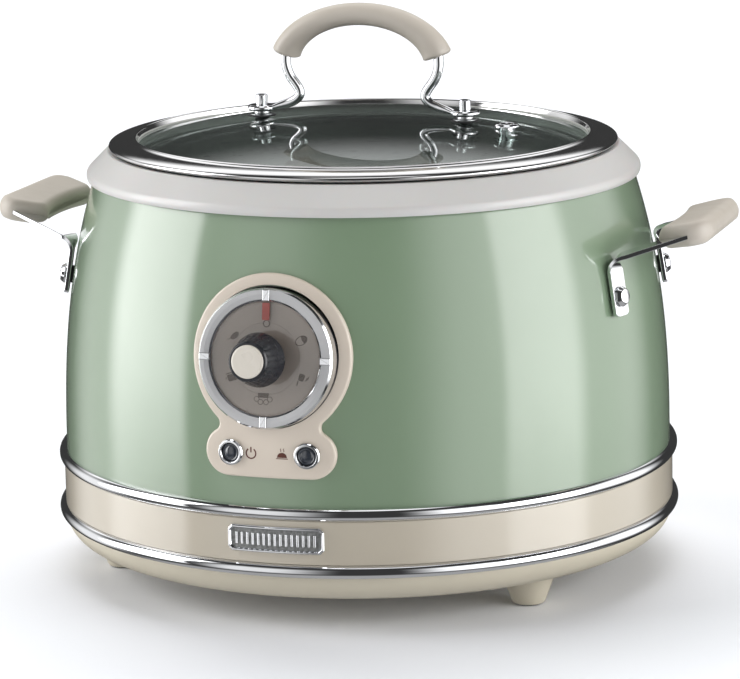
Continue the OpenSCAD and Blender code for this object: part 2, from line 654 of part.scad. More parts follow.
module lid_bolts() color(chrome) for (side = [-1, 1]) translate([side * bolt_x, 0, 0]) {
    translate([0, 0, eyelet_z + 1.4]) cylinder(r = 2.8, h = 4.3, $fn = 48);
    translate([0, 0, eyelet_z + 5.7]) cylinder(r1 = 2.8, r2 = 2.2, h = 0.6, $fn = 48);
    translate([0, 0, glass_top - 15]) cylinder(r = 2.2, h = eyelet_z + 1.4 - glass_top + 15, $fn = 48);
}
module lid_spacers() color(chrome) for (side = [-1, 1]) translate([side * bolt_x, 0, 0]) {
    ring(3.7, 2.25, glass_at(bolt_x) + 1.6, eyelet_z - 1.4);
    ring(5.6, 2.25, glass_at(bolt_x) + 1.3, glass_at(bolt_x) + 1.6);
}
module lid_washers() color(dark) for (side = [-1, 1]) translate([side * bolt_x, 0, 0]) {
    ring(6.8, 2.25, glass_at(bolt_x - 7) + 0.02, glass_at(bolt_x) + 1.3);
    ring(3.3, 2.25, glass_at(bolt_x) - glass_t, glass_at(bolt_x - 7) + 0.02);
    ring(6.4, 2.25, glass_at(bolt_x) - glass_t - 1.8, glass_at(bolt_x + 7) - glass_t - 0.05);
}
module lid_nuts() color(chrome) for (side = [-1, 1]) translate([side * bolt_x, 0, 0]) difference() {
    union() {
        translate([0, 0, glass_at(bolt_x) - glass_t - 2.4]) cylinder(r = 5.5, h = 0.6, $fn = 48);
        translate([0, 0, glass_at(bolt_x) - glass_t - 6.4]) cylinder(r = 4.3, h = 4, $fn = 6);
    }
    translate([0, 0, 150]) cylinder(r = 2.25, h = 100, $fn = 48);
}

// Bent rod legs with a flat eyelet at the foot
leg_d = 4.6;
leg_points = [[45.4, 0], [42, 1], [37, 2.4], [33.4, 4.1], [31.3, 6.4], [31.5, 9], [33.4, 12],
    [35.6, 15], [37.2, 18.6], [37.9, 22], [37.9, 25], [37.8, 30.4]];
function leg_rings() =
    [for (i = [0 : len(leg_points) - 1]) let (
        last = len(leg_points) - 1,
        p = leg_points[i],
        ahead = leg_points[min(i + 1, last)] - leg_points[max(i - 1, 0)],
        t = ahead / norm(ahead),
        flat = i == 0 ? 0.55 : (i == 1 ? 0.75 : 1),
        wide = i == 0 ? 1.35 : (i == 1 ? 1.15 : 1))
        [for (k = [0 : 15]) let (b = 22.5 * k)
            [p[0] - leg_d / 2 * flat * cos(b) * t[1], leg_d / 2 * wide * sin(b),
                eyelet_z + p[1] + leg_d / 2 * flat * cos(b) * t[0]]]];
module one_leg() difference() {
    union() {
        sweep(leg_rings());
        translate([bolt_x, 0, eyelet_z - 1.3]) cylinder(r = 6.8, h = 2.6, $fn = 48);
    }
    translate([bolt_x, 0, eyelet_z - 5]) cylinder(r = 2.25, h = 10, $fn = 48);
}
module lid_handle_legs() color(chrome) {
    one_leg();
    mirror([1, 0, 0]) one_leg();
}
arch_half = 38.5;
arch_end = 75;
arch_rise = 25;
arch_z = glass_top + 22.8;
function arch(u) = [arch_half * sin(u), arch_z + arch_rise * cos(u)];
function arch_ring(u, inset = 0) =
    let (
        p = arch(u),
        ahead = arch(u + 0.5) - arch(u - 0.5),
        t = ahead / norm(ahead),
        r = 5.35 + 1.4 * pow(u / arch_end, 2) - inset,
        deep = r * 1.28)
    [for (k = [0 : 19]) let (b = 18 * k)
        [p[0] - r * cos(b) * t[1], deep * sin(b), p[1] + r * cos(b) * t[0]]];
module lid_handle_grip() color(beige) difference() {
    sweep(concat(
        [arch_ring(-arch_end - 2.4, 2.6), arch_ring(-arch_end - 1.6, 1.1), arch_ring(-arch_end, 0.25)],
        [for (i = [-18 : 18]) arch_ring(4 * i)],
        [arch_ring(arch_end, 0.25), arch_ring(arch_end + 1.6, 1.1), arch_ring(arch_end + 2.4, 2.6)]));
    for (side = [-1, 1]) translate([side * 37.75, 0, arch_z - 1.4])
        cylinder(r = leg_d / 2 + 0.3, h = 11.4, $fn = 32);
}
module steam_vent() color(chrome) translate([vent_x, 0, 0]) difference() {
    union() {
        translate([0, 0, glass_at(vent_x - 6.2) + 0.02]) cylinder(r = 6.2, h = 0.9, $fn = 64);
        translate([0, 0, glass_at(vent_x - 6.2) + 0.92]) cylinder(r1 = 6.2, r2 = 4.9, h = 0.8, $fn = 64);
        translate([0, 0, glass_at(vent_x) - glass_t - 1.2]) cylinder(r = 4, h = glass_t + 2, $fn = 64);
        translate([0, 0, glass_at(vent_x) - glass_t - 1.8]) cylinder(r = 5.6, h = 0.9, $fn = 64);
    }
    translate([0, 0, 150]) cylinder(r = 3.1, h = 100, $fn = 64);
}

// The body axis stands behind the middle of the footprint, because the knob reaches forward
module seated() translate([0, axis_y, 0]) children();

seated() base_pan();
seated() feet();
seated() foot_pads();
seated() foot_screws();
seated() lower_trim_ring();
seated() base_band();
seated() badge_plate();
seated() upper_trim_ring();
seated() body_shell();
seated() top_collar();
seated() control_panel();
seated() dial_bezel();
seated() dial_housing();
seated() dial_face();
seated() rotary_switch();
seated() knob_shaft();
seated() knob_body();
seated() knob_cap();
seated() pointer_disc();
seated() pointer_needle();
seated() button_bezels();
seated() power_button();
seated() keep_warm_button();
seated() power_button_spring();
seated() keep_warm_button_spring();
seated() micro_switches();
seated() control_board();
seated() left_handle_straps();
seated() right_handle_straps();
seated() left_handle_grip();
seated() right_handle_grip();
seated() handle_rivets();
seated() handle_spacers();
seated() pot_well();
seated() side_heater_band();
seated() chassis_tray();
seated() heater_plate();
seated() heating_element();
seated() plate_screws();
seated() sensor_cup();
seated() sensor_spring();
seated() sensor_guide();
seated() thermal_fuse();
seated() power_board();
seated() power_relay();
seated() transformer();
seated() power_inlet();
seated() inlet_pins();
seated() inlet_screws();
seated() inner_pot();
seated() lid_glass();
seated() lid_rim();
seated() lid_gasket();
seated() lid_handle_legs();
seated() lid_handle_grip();
seated() lid_bolts();
seated() lid_spacers();
seated() lid_washers();
seated() lid_nuts();
seated() steam_vent();
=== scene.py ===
import json
import math

import bmesh
import bpy
from mathutils import Matrix, Vector
from mathutils.geometry import delaunay_2d_cdt


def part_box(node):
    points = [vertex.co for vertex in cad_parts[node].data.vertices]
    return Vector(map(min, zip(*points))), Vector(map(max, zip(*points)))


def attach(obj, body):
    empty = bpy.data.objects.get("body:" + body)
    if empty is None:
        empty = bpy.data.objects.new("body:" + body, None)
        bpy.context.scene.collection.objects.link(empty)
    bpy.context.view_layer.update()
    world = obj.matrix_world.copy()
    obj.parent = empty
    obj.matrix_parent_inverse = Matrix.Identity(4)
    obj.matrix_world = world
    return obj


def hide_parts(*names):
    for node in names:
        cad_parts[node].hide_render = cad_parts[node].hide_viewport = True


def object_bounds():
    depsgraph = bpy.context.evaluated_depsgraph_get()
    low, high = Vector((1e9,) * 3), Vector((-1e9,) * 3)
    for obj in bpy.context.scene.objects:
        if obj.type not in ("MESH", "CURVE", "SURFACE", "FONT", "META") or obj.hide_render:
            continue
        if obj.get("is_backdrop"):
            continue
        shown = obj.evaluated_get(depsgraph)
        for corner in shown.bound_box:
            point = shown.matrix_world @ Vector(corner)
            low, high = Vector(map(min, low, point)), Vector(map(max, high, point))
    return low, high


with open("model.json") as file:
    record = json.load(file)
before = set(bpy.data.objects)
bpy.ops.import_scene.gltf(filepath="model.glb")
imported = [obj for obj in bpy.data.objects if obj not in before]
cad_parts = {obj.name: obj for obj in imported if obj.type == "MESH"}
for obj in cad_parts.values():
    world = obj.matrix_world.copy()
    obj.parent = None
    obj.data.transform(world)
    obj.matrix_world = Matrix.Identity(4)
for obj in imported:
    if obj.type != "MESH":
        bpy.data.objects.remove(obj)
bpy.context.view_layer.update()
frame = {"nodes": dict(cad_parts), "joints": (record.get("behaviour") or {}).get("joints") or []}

# ---------------------------------------------------------------- measures
# All lengths below are in millimetres; meshes are scaled to metres when made.
MM = 0.001
TAU = 2 * math.pi

# The body axis stands behind the middle of the footprint.
# Shapes are made about the axis, then moved by this much.
ring_low, ring_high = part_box("lower_trim_ring")
AXIS = Vector((0, (ring_low.y + ring_high.y) * 500, 0))


def box(node):
    lo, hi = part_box(node)
    return lo * 1000 - AXIS, hi * 1000 - AXIS


pan_z = box("base_pan")[0].z
base_z = box("lower_trim_ring")[0].z
pan_r = box("base_pan")[1].x
trim_h = box("lower_trim_ring")[1].z - base_z
lower_r = box("lower_trim_ring")[1].x
upper_r = box("upper_trim_ring")[1].x
band_z, band_top = box("base_band")[0].z, box("base_band")[1].z
band_r = box("base_band")[1].x
body_z, body_top = box("body_shell")[0].z, box("body_shell")[1].z
body_r = box("body_shell")[1].x
body_h = body_top - body_z
body_top_r = 128.2
body_curve = 2.45
shell_t = 1.2
collar_r = box("top_collar")[1].x
collar_top = box("top_collar")[1].z
ledge_z = collar_top - 5.6
rim_z = collar_top - 1.5
lip_z = collar_top + 0.8
rim_r = box("lid_rim")[1].x
glass_top = box("lid_glass")[1].z
glass_r = 520.0
glass_t = 4.0
glass_edge_r = box("lid_glass")[1].x
bolt_x = box("lid_bolts")[1].x - 2.8
vent_x = (box("steam_vent")[0].x + box("steam_vent")[1].x) / 2
eyelet_z = glass_top + 2.1
panel_t = 2.5


def body_at(z):
    return body_r - (body_r - body_top_r) * max(0.0, (z - body_z) / body_h) ** body_curve


def lean_at(z):
    t = max(0.0, (z - body_z) / body_h)
    return math.atan((body_r - body_top_r) * body_curve / body_h * t ** (body_curve - 1))


def glass_at(r):
    return glass_top - glass_r + math.sqrt(glass_r ** 2 - r ** 2)


def frame_of(origin, out, up=(0, 0, 1)):
    """A local frame: +Z points out of the body, +Y up."""
    z = Vector(out).normalized()
    x = Vector(up).cross(z).normalized()
    y = z.cross(x)
    m = Matrix((x, y, z)).transposed().to_4x4()
    m.translation = Vector(origin)
    return m


joints = {j["name"]: j for j in frame["joints"]}
knob = joints["knob_turn"]
dial_frame = frame_of(Vector(knob["pos_m"]) * 1000 - AXIS, [-v for v in knob["axis"]])


def button_frame(name, node):
    out = Vector([-v for v in joints[name]["axis"]])
    lo, hi = box(node)
    z = (lo.z + hi.z) / 2
    return frame_of(out * (body_at(z) + panel_t) + Vector((0, 0, z)), out)


button_frames = [button_frame("power_press", "power_button"),
                 button_frame("keep_warm_press", "keep_warm_button")]

rivet_z = 140.0
rivet_angle = 17.6
strap_w, strap_t, strap_gap = 11.0, 2.0, 1.2


def rivet_frame(side, turn):
    a = math.radians(side + turn)
    lean = lean_at(rivet_z)
    out = Vector((math.cos(lean) * math.cos(a), math.cos(lean) * math.sin(a), math.sin(lean)))
    r = body_at(rivet_z)
    return frame_of((r * math.cos(a), r * math.sin(a), rivet_z), out)


rivet_frames = [rivet_frame(s, t * rivet_angle) for s in (0, 180) for t in (-1, 1)]
inlet_z = 82.0
inlet_frame = frame_of((0, body_at(inlet_z), inlet_z), (0, 1, 0))


# ---------------------------------------------------------------- mesh tools
def rounded(points, steps=6):
    """Corner points (x, y, radius) joined with arcs at the corners that have a radius."""
    out = []
    k = len(points)
    for i, p in enumerate(points):
        r = p[2] if len(p) > 2 else 0
        c = Vector(p[:2])
        a, b = Vector(points[i - 1][:2]), Vector(points[(i + 1) % k][:2])
        u, v = (a - c), (b - c)
        if r <= 0 or u.length < 1e-6 or v.length < 1e-6:
            out.append(c[:])
            continue
        lu, lv = u.length, v.length
        u.normalize()
        v.normalize()
        half = math.acos(max(-1.0, min(1.0, u.dot(v)))) / 2
        if half > math.pi / 2 - 0.01:
            out.append(c[:])
            continue
        cut = min(r / math.tan(half), lu * 0.49, lv * 0.49)
        r = cut * math.tan(half)
        centre = c + (u + v).normalized() * (r / math.sin(half))
        s, e = c + u * cut - centre, c + v * cut - centre
        a0, a1 = math.atan2(s.y, s.x), math.atan2(e.y, e.x)
        turn = (a1 - a0 + math.pi) % TAU - math.pi
        out += [(centre.x + r * math.cos(a0 + turn * j / steps),
                 centre.y + r * math.sin(a0 + turn * j / steps)) for j in range(steps + 1)]
    return out


def arc(cx, cy, r, a0, a1, steps):
    return [(cx + r * math.cos(math.radians(a0 + (a1 - a0) * i / steps)),
             cy + r * math.sin(math.radians(a0 + (a1 - a0) * i / steps))) for i in range(steps + 1)]


def spline(points, steps=6):
    """A smooth line through the points."""
    out = []
    n = len(points)
    pts = [Vector(p) for p in points]
    for i in range(n - 1):
        p0, p1, p2, p3 = pts[max(i - 1, 0)], pts[i], pts[i + 1], pts[min(i + 2, n - 1)]
        for j in range(steps):
            t = j / steps
            out.append(tuple(0.5 * ((2 * p1) + (p2 - p0) * t + (2 * p0 - 5 * p1 + 4 * p2 - p3) * t * t
                                    + (3 * p1 - p0 - 3 * p2 + p3) * t ** 3)))
    out.append(tuple(pts[-1]))
    return out


def oval(rx, ry, start, end, step, cx=0.0, cy=0.0):
    """Points of an ellipse at whole degrees."""
    return [(cx + rx * math.cos(math.radians(a)), cy + ry * math.sin(math.radians(a)))
            for a in range(start, end, step)]


def rectangle(x0, x1, y0, y1, r, steps):
    return rounded([(x0, y0, r), (x1, y0, r), (x1, y1, r), (x0, y1, r)], steps)


def revolve(profile, segments=128):
    """A closed (radius, height) outline turned about Z."""
    verts, faces, index = [], [], []
    for r, z in profile:
        if r < 1e-6:
            verts.append((0, 0, z))
            index.append([len(verts) - 1] * segments)
        else:
            base = len(verts)
            verts += [(r * math.cos(TAU * s / segments), r * math.sin(TAU * s / segments), z)
                      for s in range(segments)]
            index.append(list(range(base, base + segments)))
    n = len(profile)
    for i in range(n):
        j = (i + 1) % n
        if profile[i][0] < 1e-6 and profile[j][0] < 1e-6:
            continue
        for s in range(segments):
            t = (s + 1) % segments
            quad = []
            for v in (index[i][s], index[i][t], index[j][t], index[j][s]):
                if v not in quad:
                    quad.append(v)
            faces.append(quad)
    return verts, faces


def loft(rings, closed=False):
    """Rings of equal length joined in order; the two ends are capped unless closed."""
    verts = [tuple(p) for ring in rings for p in ring]
    n, m = len(rings[0]), len(rings)
    faces = []
    for j in range(m if closed else m - 1):
        k = (j + 1) % m
        faces += [[j * n + i, j * n + (i + 1) % n, k * n + (i + 1) % n, k * n + i] for i in range(n)]
    if not closed:
        faces += [list(range(n)), list(range((m - 1) * n, m * n))]
    return verts, faces


def extrude(outline, z0, z1, bevel=0.0, steps=4, both=False):
    """A flat outline given a thickness, with its top edge rounded."""
    rings = []

    def ring(inset, z):
        rings.append([(p[0], p[1], z) for p in shrink(outline, inset)])

    if both and bevel > 0:
        for i in range(steps + 1):
            a = math.pi / 2 * i / steps
            ring(bevel * (1 - math.sin(a)), z0 + bevel * (1 - math.cos(a)))
    else:
        ring(0, z0)
    if bevel > 0:
        for i in range(steps + 1):
            a = math.pi / 2 * i / steps
            ring(bevel * (1 - math.cos(a)), z1 - bevel * (1 - math.sin(a)))
    else:
        ring(0, z1)
    return loft(rings)


def shrink(outline, d):
    """The outline moved inwards by d along each corner's bisector. Outlines run anticlockwise."""
    if d == 0:
        return [Vector(p) for p in outline]
    out, n = [], len(outline)
    for i, p in enumerate(outline):
        a, b = Vector(outline[i - 1]), Vector(outline[(i + 1) % n])
        p = Vector(p)
        u, v = (p - a).normalized(), (b - p).normalized()
        nu, nv = Vector((-u.y, u.x)), Vector((-v.y, v.x))
        m = (nu + nv)
        m.normalize()
        out.append(p + m * (d / max(0.3, m.dot(nu))))
    return out


def place(mesh, matrix):
    verts, faces = mesh
    return [tuple(matrix @ Vector(v)) for v in verts], faces


def merge(*meshes):
    verts, faces = [], []
    for v, f in meshes:
        base = len(verts)
        verts += v
        faces += [[i + base for i in q] for q in f]
    return verts, faces


def repeat(mesh, matrices):
    return merge(*[place(mesh, m) for m in matrices])


def shift(x=0.0, y=0.0, z=0.0):
    return Matrix.Translation((x, y, z))


def turn_z(degrees):
    return Matrix.Rotation(math.radians(degrees), 4, "Z")


def make(name, mesh, material, body="root", replaces=(), sharp=38.0, cutters=(),
         weighted=True, subdivide=0):
    """Makes a piece from (vertices, faces), or from several with a material each."""
    parts = mesh if isinstance(mesh, list) else [(mesh, material)]
    data = bpy.data.meshes.new(name)
    bm = bmesh.new()
    materials = []
    for (verts, faces), mat in parts:
        if mat not in materials:
            materials.append(mat)
        at = materials.index(mat)
        vs = [bm.verts.new((Vector(v) + AXIS) * MM) for v in verts]
        for f in faces:
            try:
                face = bm.faces.new([vs[i] for i in f])
                face.material_index = at
            except ValueError:
                pass
    bmesh.ops.remove_doubles(bm, verts=bm.verts, dist=1e-7)
    bmesh.ops.dissolve_degenerate(bm, edges=bm.edges, dist=1e-7)
    bmesh.ops.recalc_face_normals(bm, faces=bm.faces)
    bm.to_mesh(data)
    bm.free()
    obj = bpy.data.objects.new(name, data)
    bpy.context.scene.collection.objects.link(obj)
    for mat in materials:
        data.materials.append(mat)
    if cutters:
        cut(obj, cutters)
    if subdivide:
        mod = obj.modifiers.new("smooth", "SUBSURF")
        mod.levels = mod.render_levels = subdivide
    smooth(obj, sharp, weighted)
    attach(obj, body)
    if replaces:
        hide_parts(*replaces)
    return obj


def smooth(obj, degrees, weighted=True):
    bm = bmesh.new()
    bm.from_mesh(obj.data)
    limit = math.radians(degrees)
    for f in bm.faces:
        f.smooth = True
    for e in bm.edges:
        e.smooth = not (len(e.link_faces) != 2 or e.calc_face_angle(0) > limit)
    bm.to_mesh(obj.data)
    bm.free()
    if weighted:
        mod = obj.modifiers.new("normals", "WEIGHTED_NORMAL")
        mod.keep_sharp = True
        mod.weight = 60


def cut(obj, cutters):
    """Subtracts closed meshes from the piece and keeps the result as its mesh."""
    tool_data = bpy.data.meshes.new("cutter")
    bm = bmesh.new()
    for verts, faces in cutters:
        vs = [bm.verts.new((Vector(v) + AXIS) * MM) for v in verts]
        for f in faces:
            bm.faces.new([vs[i] for i in f])
    bmesh.ops.recalc_face_normals(bm, faces=bm.faces)
    bm.to_mesh(tool_data)
    bm.free()
    tool = bpy.data.objects.new("cutter", tool_data)
    bpy.context.scene.collection.objects.link(tool)
    mod = obj.modifiers.new("cut", "BOOLEAN")
    mod.operation = "DIFFERENCE"
    mod.solver = "EXACT"
    mod.object = tool
    bpy.context.view_layer.update()
    done = bpy.data.meshes.new_from_object(obj.evaluated_get(bpy.context.evaluated_depsgraph_get()))
    old = obj.data
    obj.modifiers.remove(mod)
    done.name = old.name + "_cut"
    obj.data = done
    bpy.data.meshes.remove(old)
    bpy.data.objects.remove(tool)
    bpy.data.meshes.remove(tool_data)


def drum(r, z0, z1, segments=64):
    return revolve([(0, z0), (r, z0), (r, z1), (0, z1)], segments)


def block(x0, x1, y0, y1, z0, z1):
    return loft([[(x0, y0, z0), (x1, y0, z0), (x1, y1, z0), (x0, y1, z0)],
                 [(x0, y0, z1), (x1, y0, z1), (x1, y1, z1), (x0, y1, z1)]])


# ---------------------------------------------------------------- materials
def new_material(name):
    mat = bpy.data.materials.new(name)
    mat.use_nodes = True
    nodes, links = mat.node_tree.nodes, mat.node_tree.links
    nodes.clear()
    out = nodes.new("ShaderNodeOutputMaterial")
    shader = nodes.new("ShaderNodeBsdfPrincipled")
    links.new(shader.outputs["BSDF"], out.inputs["Surface"])
    coords = nodes.new("ShaderNodeTexCoord")
    return mat, nodes, links, shader, coords


def noise_node(nodes, links, vector, scale, detail=3.0, rough=0.5):
    n = nodes.new("ShaderNodeTexNoise")
    n.inputs["Scale"].default_value = scale
    n.inputs["Detail"].default_value = detail
    n.inputs["Roughness"].default_value = rough
    links.new(vector, n.inputs["Vector"])
    return n.outputs["Fac"]


def ramp(nodes, links, value, low, high, start=0.3, end=0.7):
    m = nodes.new("ShaderNodeMapRange")
    m.inputs["From Min"].default_value = start
    m.inputs["From Max"].default_value = end
    m.inputs["To Min"].default_value = low
    m.inputs["To Max"].default_value = high
    links.new(value, m.inputs["Value"])
    return m.outputs["Result"]


def colour_mix(nodes, links, fac, a, b):
    m = nodes.new("ShaderNodeMix")
    m.data_type = "RGBA"
    m.inputs["A"].default_value = (*a, 1)
    m.inputs["B"].default_value = (*b, 1)
    links.new(fac, m.inputs["Factor"])
    return m.outputs["Result"]


def bump_node(nodes, links, height, strength, distance, under=None):
    bump = nodes.new("ShaderNodeBump")
    bump.inputs["Strength"].default_value = strength
    bump.inputs["Distance"].default_value = distance
    links.new(height, bump.inputs["Height"])
    if under:
        links.new(under.outputs["Normal"], bump.inputs["Normal"])
    return bump


def surface(name, colour, rough, metallic=0.0, tone=0.06, tone_scale=40.0, rough_range=0.06,
            rough_scale=120.0, grain=0.0, grain_scale=900.0, wave=0.0, wave_scale=60.0,
            stretch=None, wear=0.0, wear_colour=None, **fixed):
    """A procedural finish: broad tone changes, uneven roughness, fine grain or brushing, and rubbed edges."""
    mat, nodes, links, shader, coords = new_material(name)
    vector = coords.outputs["Object"]
    if stretch:
        mapping = nodes.new("ShaderNodeMapping")
        mapping.inputs["Scale"].default_value = stretch
        links.new(vector, mapping.inputs["Vector"])
        fine_vector = mapping.outputs["Vector"]
    else:
        fine_vector = vector
    dark = tuple(c * (1 - tone) for c in colour)
    light = tuple(min(1.0, c * (1 + tone)) for c in colour)
    broad = noise_node(nodes, links, vector, tone_scale, 4.0)
    base = colour_mix(nodes, links, ramp(nodes, links, broad, 0, 1), dark, light)
    if wear > 0:
        geometry = nodes.new("ShaderNodeNewGeometry")
        edge = ramp(nodes, links, geometry.outputs["Pointiness"], 0, wear, 0.52, 0.62)
        mix = nodes.new("ShaderNodeMix")
        mix.data_type = "RGBA"
        mix.inputs["B"].default_value = (*(wear_colour or light), 1)
        links.new(edge, mix.inputs["Factor"])
        links.new(base, mix.inputs["A"])
        base = mix.outputs["Result"]
    links.new(base, shader.inputs["Base Color"])
    uneven = noise_node(nodes, links, fine_vector, rough_scale, 3.0)
    links.new(ramp(nodes, links, uneven, max(0.0, rough - rough_range), rough + rough_range),
              shader.inputs["Roughness"])
    shader.inputs["Metallic"].default_value = metallic
    last = None
    if wave > 0:
        last = bump_node(nodes, links, noise_node(nodes, links, vector, wave_scale, 1.0), wave, 0.0005)
    if grain > 0:
        fine = noise_node(nodes, links, fine_vector, grain_scale, 4.0, 0.6)
        last = bump_node(nodes, links, fine, grain, 0.0001, last)
    if last:
        links.new(last.outputs["Normal"], shader.inputs["Normal"])
    for key, value in fixed.items():
        shader.inputs[key.replace("_", " ")].default_value = value
    return mat


green = surface("green_enamel", (0.19, 0.268, 0.172), 0.34, tone=0.012, tone_scale=9, rough_range=0.02,
                wave=0.012, wave_scale=90, grain=0.004, grain_scale=1500,
                Coat_Weight=1.0, Coat_Roughness=0.06, Coat_IOR=1.55)
chrome = surface("polished_chrome", (0.80, 0.81, 0.83), 0.055, metallic=1.0, tone=0.02, rough_range=0.015,
                 grain=0.004, grain_scale=2500, wave=0.006, wave_scale=90)
silver = surface("satin_silver", (0.50, 0.50, 0.505), 0.36, metallic=0.35, tone=0.015, tone_scale=30,
                 rough_range=0.04, grain=0.02, grain_scale=2600)
steel = surface("polished_steel", (0.74, 0.74, 0.745), 0.08, metallic=1.0, tone=0.02, rough_range=0.03,
                stretch=(1, 1, 9), rough_scale=260, grain=0.006, grain_scale=1800)
satin_steel = surface("satin_steel", (0.56, 0.57, 0.58), 0.28, metallic=1.0, tone=0.06, rough_range=0.08,
                      grain=0.06, grain_scale=1600, wear=0.5, wear_colour=(0.75, 0.75, 0.76))
white = surface("collar_plastic", (0.56, 0.55, 0.535), 0.32, tone=0.01, tone_scale=12, rough_range=0.03,
                grain=0.008, grain_scale=1800, Coat_Weight=0.2, Coat_Roughness=0.18,
                Subsurface_Weight=0.08, Subsurface_Scale=0.004)
cream = surface("base_plastic", (0.53, 0.485, 0.385), 0.42, tone=0.015, tone_scale=16, rough_range=0.04,
                grain=0.02, grain_scale=1300, wear=0.3, wear_colour=(0.70, 0.65, 0.54))
band_mat = surface("band_plastic", (0.485, 0.435, 0.35), 0.32, tone=0.012, tone_scale=12, rough_range=0.03,
                   grain=0.008, grain_scale=1600, Coat_Weight=0.9, Coat_Roughness=0.10, Coat_IOR=1.6)
panel_mat = surface("panel_plastic", (0.62, 0.545, 0.46), 0.34, tone=0.012, tone_scale=20, rough_range=0.04,
                    grain=0.015, grain_scale=2000, Coat_Weight=0.2, Coat_Roughness=0.2)
cap_mat = surface("cap_plastic", (0.62, 0.58, 0.51), 0.30, tone=0.02, tone_scale=60, rough_range=0.05,
                  grain=0.03, grain_scale=2200)
grip_mat = surface("grip_plastic", (0.50, 0.455, 0.395), 0.40, tone=0.03, tone_scale=40, rough_range=0.06,
                   grain=0.08, grain_scale=1500, wear=0.25, wear_colour=(0.60, 0.56, 0.50))
black = surface("black_plastic", (0.012, 0.013, 0.017), 0.26, tone=0.2, tone_scale=60, rough_range=0.08,
                grain=0.05, grain_scale=2400, wear=0.5, wear_colour=(0.05, 0.05, 0.06))
rubber = surface("black_rubber", (0.018, 0.018, 0.019), 0.62, tone=0.15, tone_scale=80, rough_range=0.1,
                 grain=0.15, grain_scale=1800)
silicone = surface("silicone", (0.66, 0.66, 0.63), 0.45, tone=0.03, rough_range=0.06, grain=0.05)
dial_mat = surface("dial_film", (0.34, 0.29, 0.262), 0.38, tone=0.10, tone_scale=18, rough_range=0.05,
                   grain=0.03, grain_scale=2500)
ink = surface("brown_ink", (0.065, 0.035, 0.022), 0.45, tone=0.12, tone_scale=300, rough_range=0.05, grain=0.02)
symbol_ink = surface("rust_ink", (0.11, 0.028, 0.016), 0.45, tone=0.12, tone_scale=300, rough_range=0.05,
                     grain=0.02)
red = surface("red_pointer", (0.27, 0.07, 0.06), 0.30, tone=0.08, tone_scale=200, rough_range=0.05, grain=0.02)
lens = surface("dark_lens", (0.03, 0.035, 0.045), 0.10, tone=0.15, tone_scale=300, rough_range=0.03,
               grain=0.01, Coat_Weight=1.0, Coat_Roughness=0.02)
badge_field = surface("badge_field", (0.26, 0.265, 0.26), 0.50, metallic=0.6, tone=0.35, tone_scale=900,
                      rough_range=0.12, grain=0.5, grain_scale=1400)
pot_mat = surface("pot_lining", (0.33, 0.335, 0.32), 0.34, metallic=0.65, tone=0.05, tone_scale=20,
                  rough_range=0.08, stretch=(1, 1, 14), grain=0.05, grain_scale=700)
liner_mat = surface("pressed_sheet", (0.50, 0.51, 0.52), 0.34, metallic=1.0, tone=0.08, tone_scale=25,
                    rough_range=0.1, grain=0.08, grain_scale=900, wear=0.4, wear_colour=(0.7, 0.7, 0.7))
cast_mat = surface("cast_aluminium", (0.58, 0.585, 0.59), 0.42, metallic=1.0, tone=0.08, tone_scale=60,
                   rough_range=0.1, grain=0.3, grain_scale=1100)
tinted_mat = surface("tinted_tube", (0.20, 0.17, 0.15), 0.40, metallic=1.0, tone=0.3, tone_scale=70,
                     rough_range=0.12, grain=0.1)
board_mat = surface("circuit_board", (0.035, 0.13, 0.055), 0.38, tone=0.12, tone_scale=160, rough_range=0.06,
                    grain=0.06, grain_scale=1200)
relay_mat = surface("relay_case", (0.02, 0.06, 0.18), 0.35, tone=0.08, tone_scale=120, rough_range=0.06,
                    grain=0.05)
tape_mat = surface("core_tape", (0.50, 0.36, 0.06), 0.42, tone=0.12, tone_scale=140, rough_range=0.08,
                   grain=0.12, stretch=(1, 1, 6))
ceramic_mat = surface("woven_sleeve", (0.68, 0.65, 0.55), 0.55, tone=0.10, tone_scale=400, rough_range=0.08,
                      grain=0.3, grain_scale=1500)
brass_mat = surface("plated_brass", (0.60, 0.50, 0.28), 0.22, metallic=1.0, tone=0.06, rough_range=0.06,
                    grain=0.03)


def clear_material(name, tint, rough):
    """Clear sheet that doesn't bend what is seen through it; its gloss grows towards its edges."""
    mat, nodes, links, shader, coords = new_material(name)
    vector = coords.outputs["Object"]
    broad = noise_node(nodes, links, vector, 9, 2.0)
    other = tuple(c * 0.985 for c in tint)
    clear = nodes.new("ShaderNodeBsdfTransparent")
    links.new(colour_mix(nodes, links, ramp(nodes, links, broad, 0, 1), tint, other), clear.inputs["Color"])
    links.new(ramp(nodes, links, noise_node(nodes, links, vector, 60), rough * 0.6, rough * 1.4),
              shader.inputs["Roughness"])
    shader.inputs["Base Color"].default_value = (0.95, 0.97, 0.97, 1)
    shader.inputs["Metallic"].default_value = 1.0
    weight = nodes.new("ShaderNodeLayerWeight")
    weight.inputs["Blend"].default_value = 0.5
    last = weight.outputs["Facing"]
    for kind, value in (("POWER", 5.0), ("MULTIPLY", 0.9), ("ADD", 0.04)):
        node = nodes.new("ShaderNodeMath")
        node.operation = kind
        node.inputs[1].default_value = value
        links.new(last, node.inputs[0])
        last = node.outputs[0]
    mix = nodes.new("ShaderNodeMixShader")
    links.new(last, mix.inputs[0])
    links.new(clear.outputs[0], mix.inputs[1])
    links.new(shader.outputs[0], mix.inputs[2])
    output = next(n for n in nodes if n.type == "OUTPUT_MATERIAL")
    links.new(mix.outputs[0], output.inputs["Surface"])
    return mat


glass_mat = clear_material("lid_glass_clear", (0.86, 0.90, 0.885), 0.006)
clear_mat = clear_material("clear_plastic", (0.93, 0.93, 0.92), 0.02)


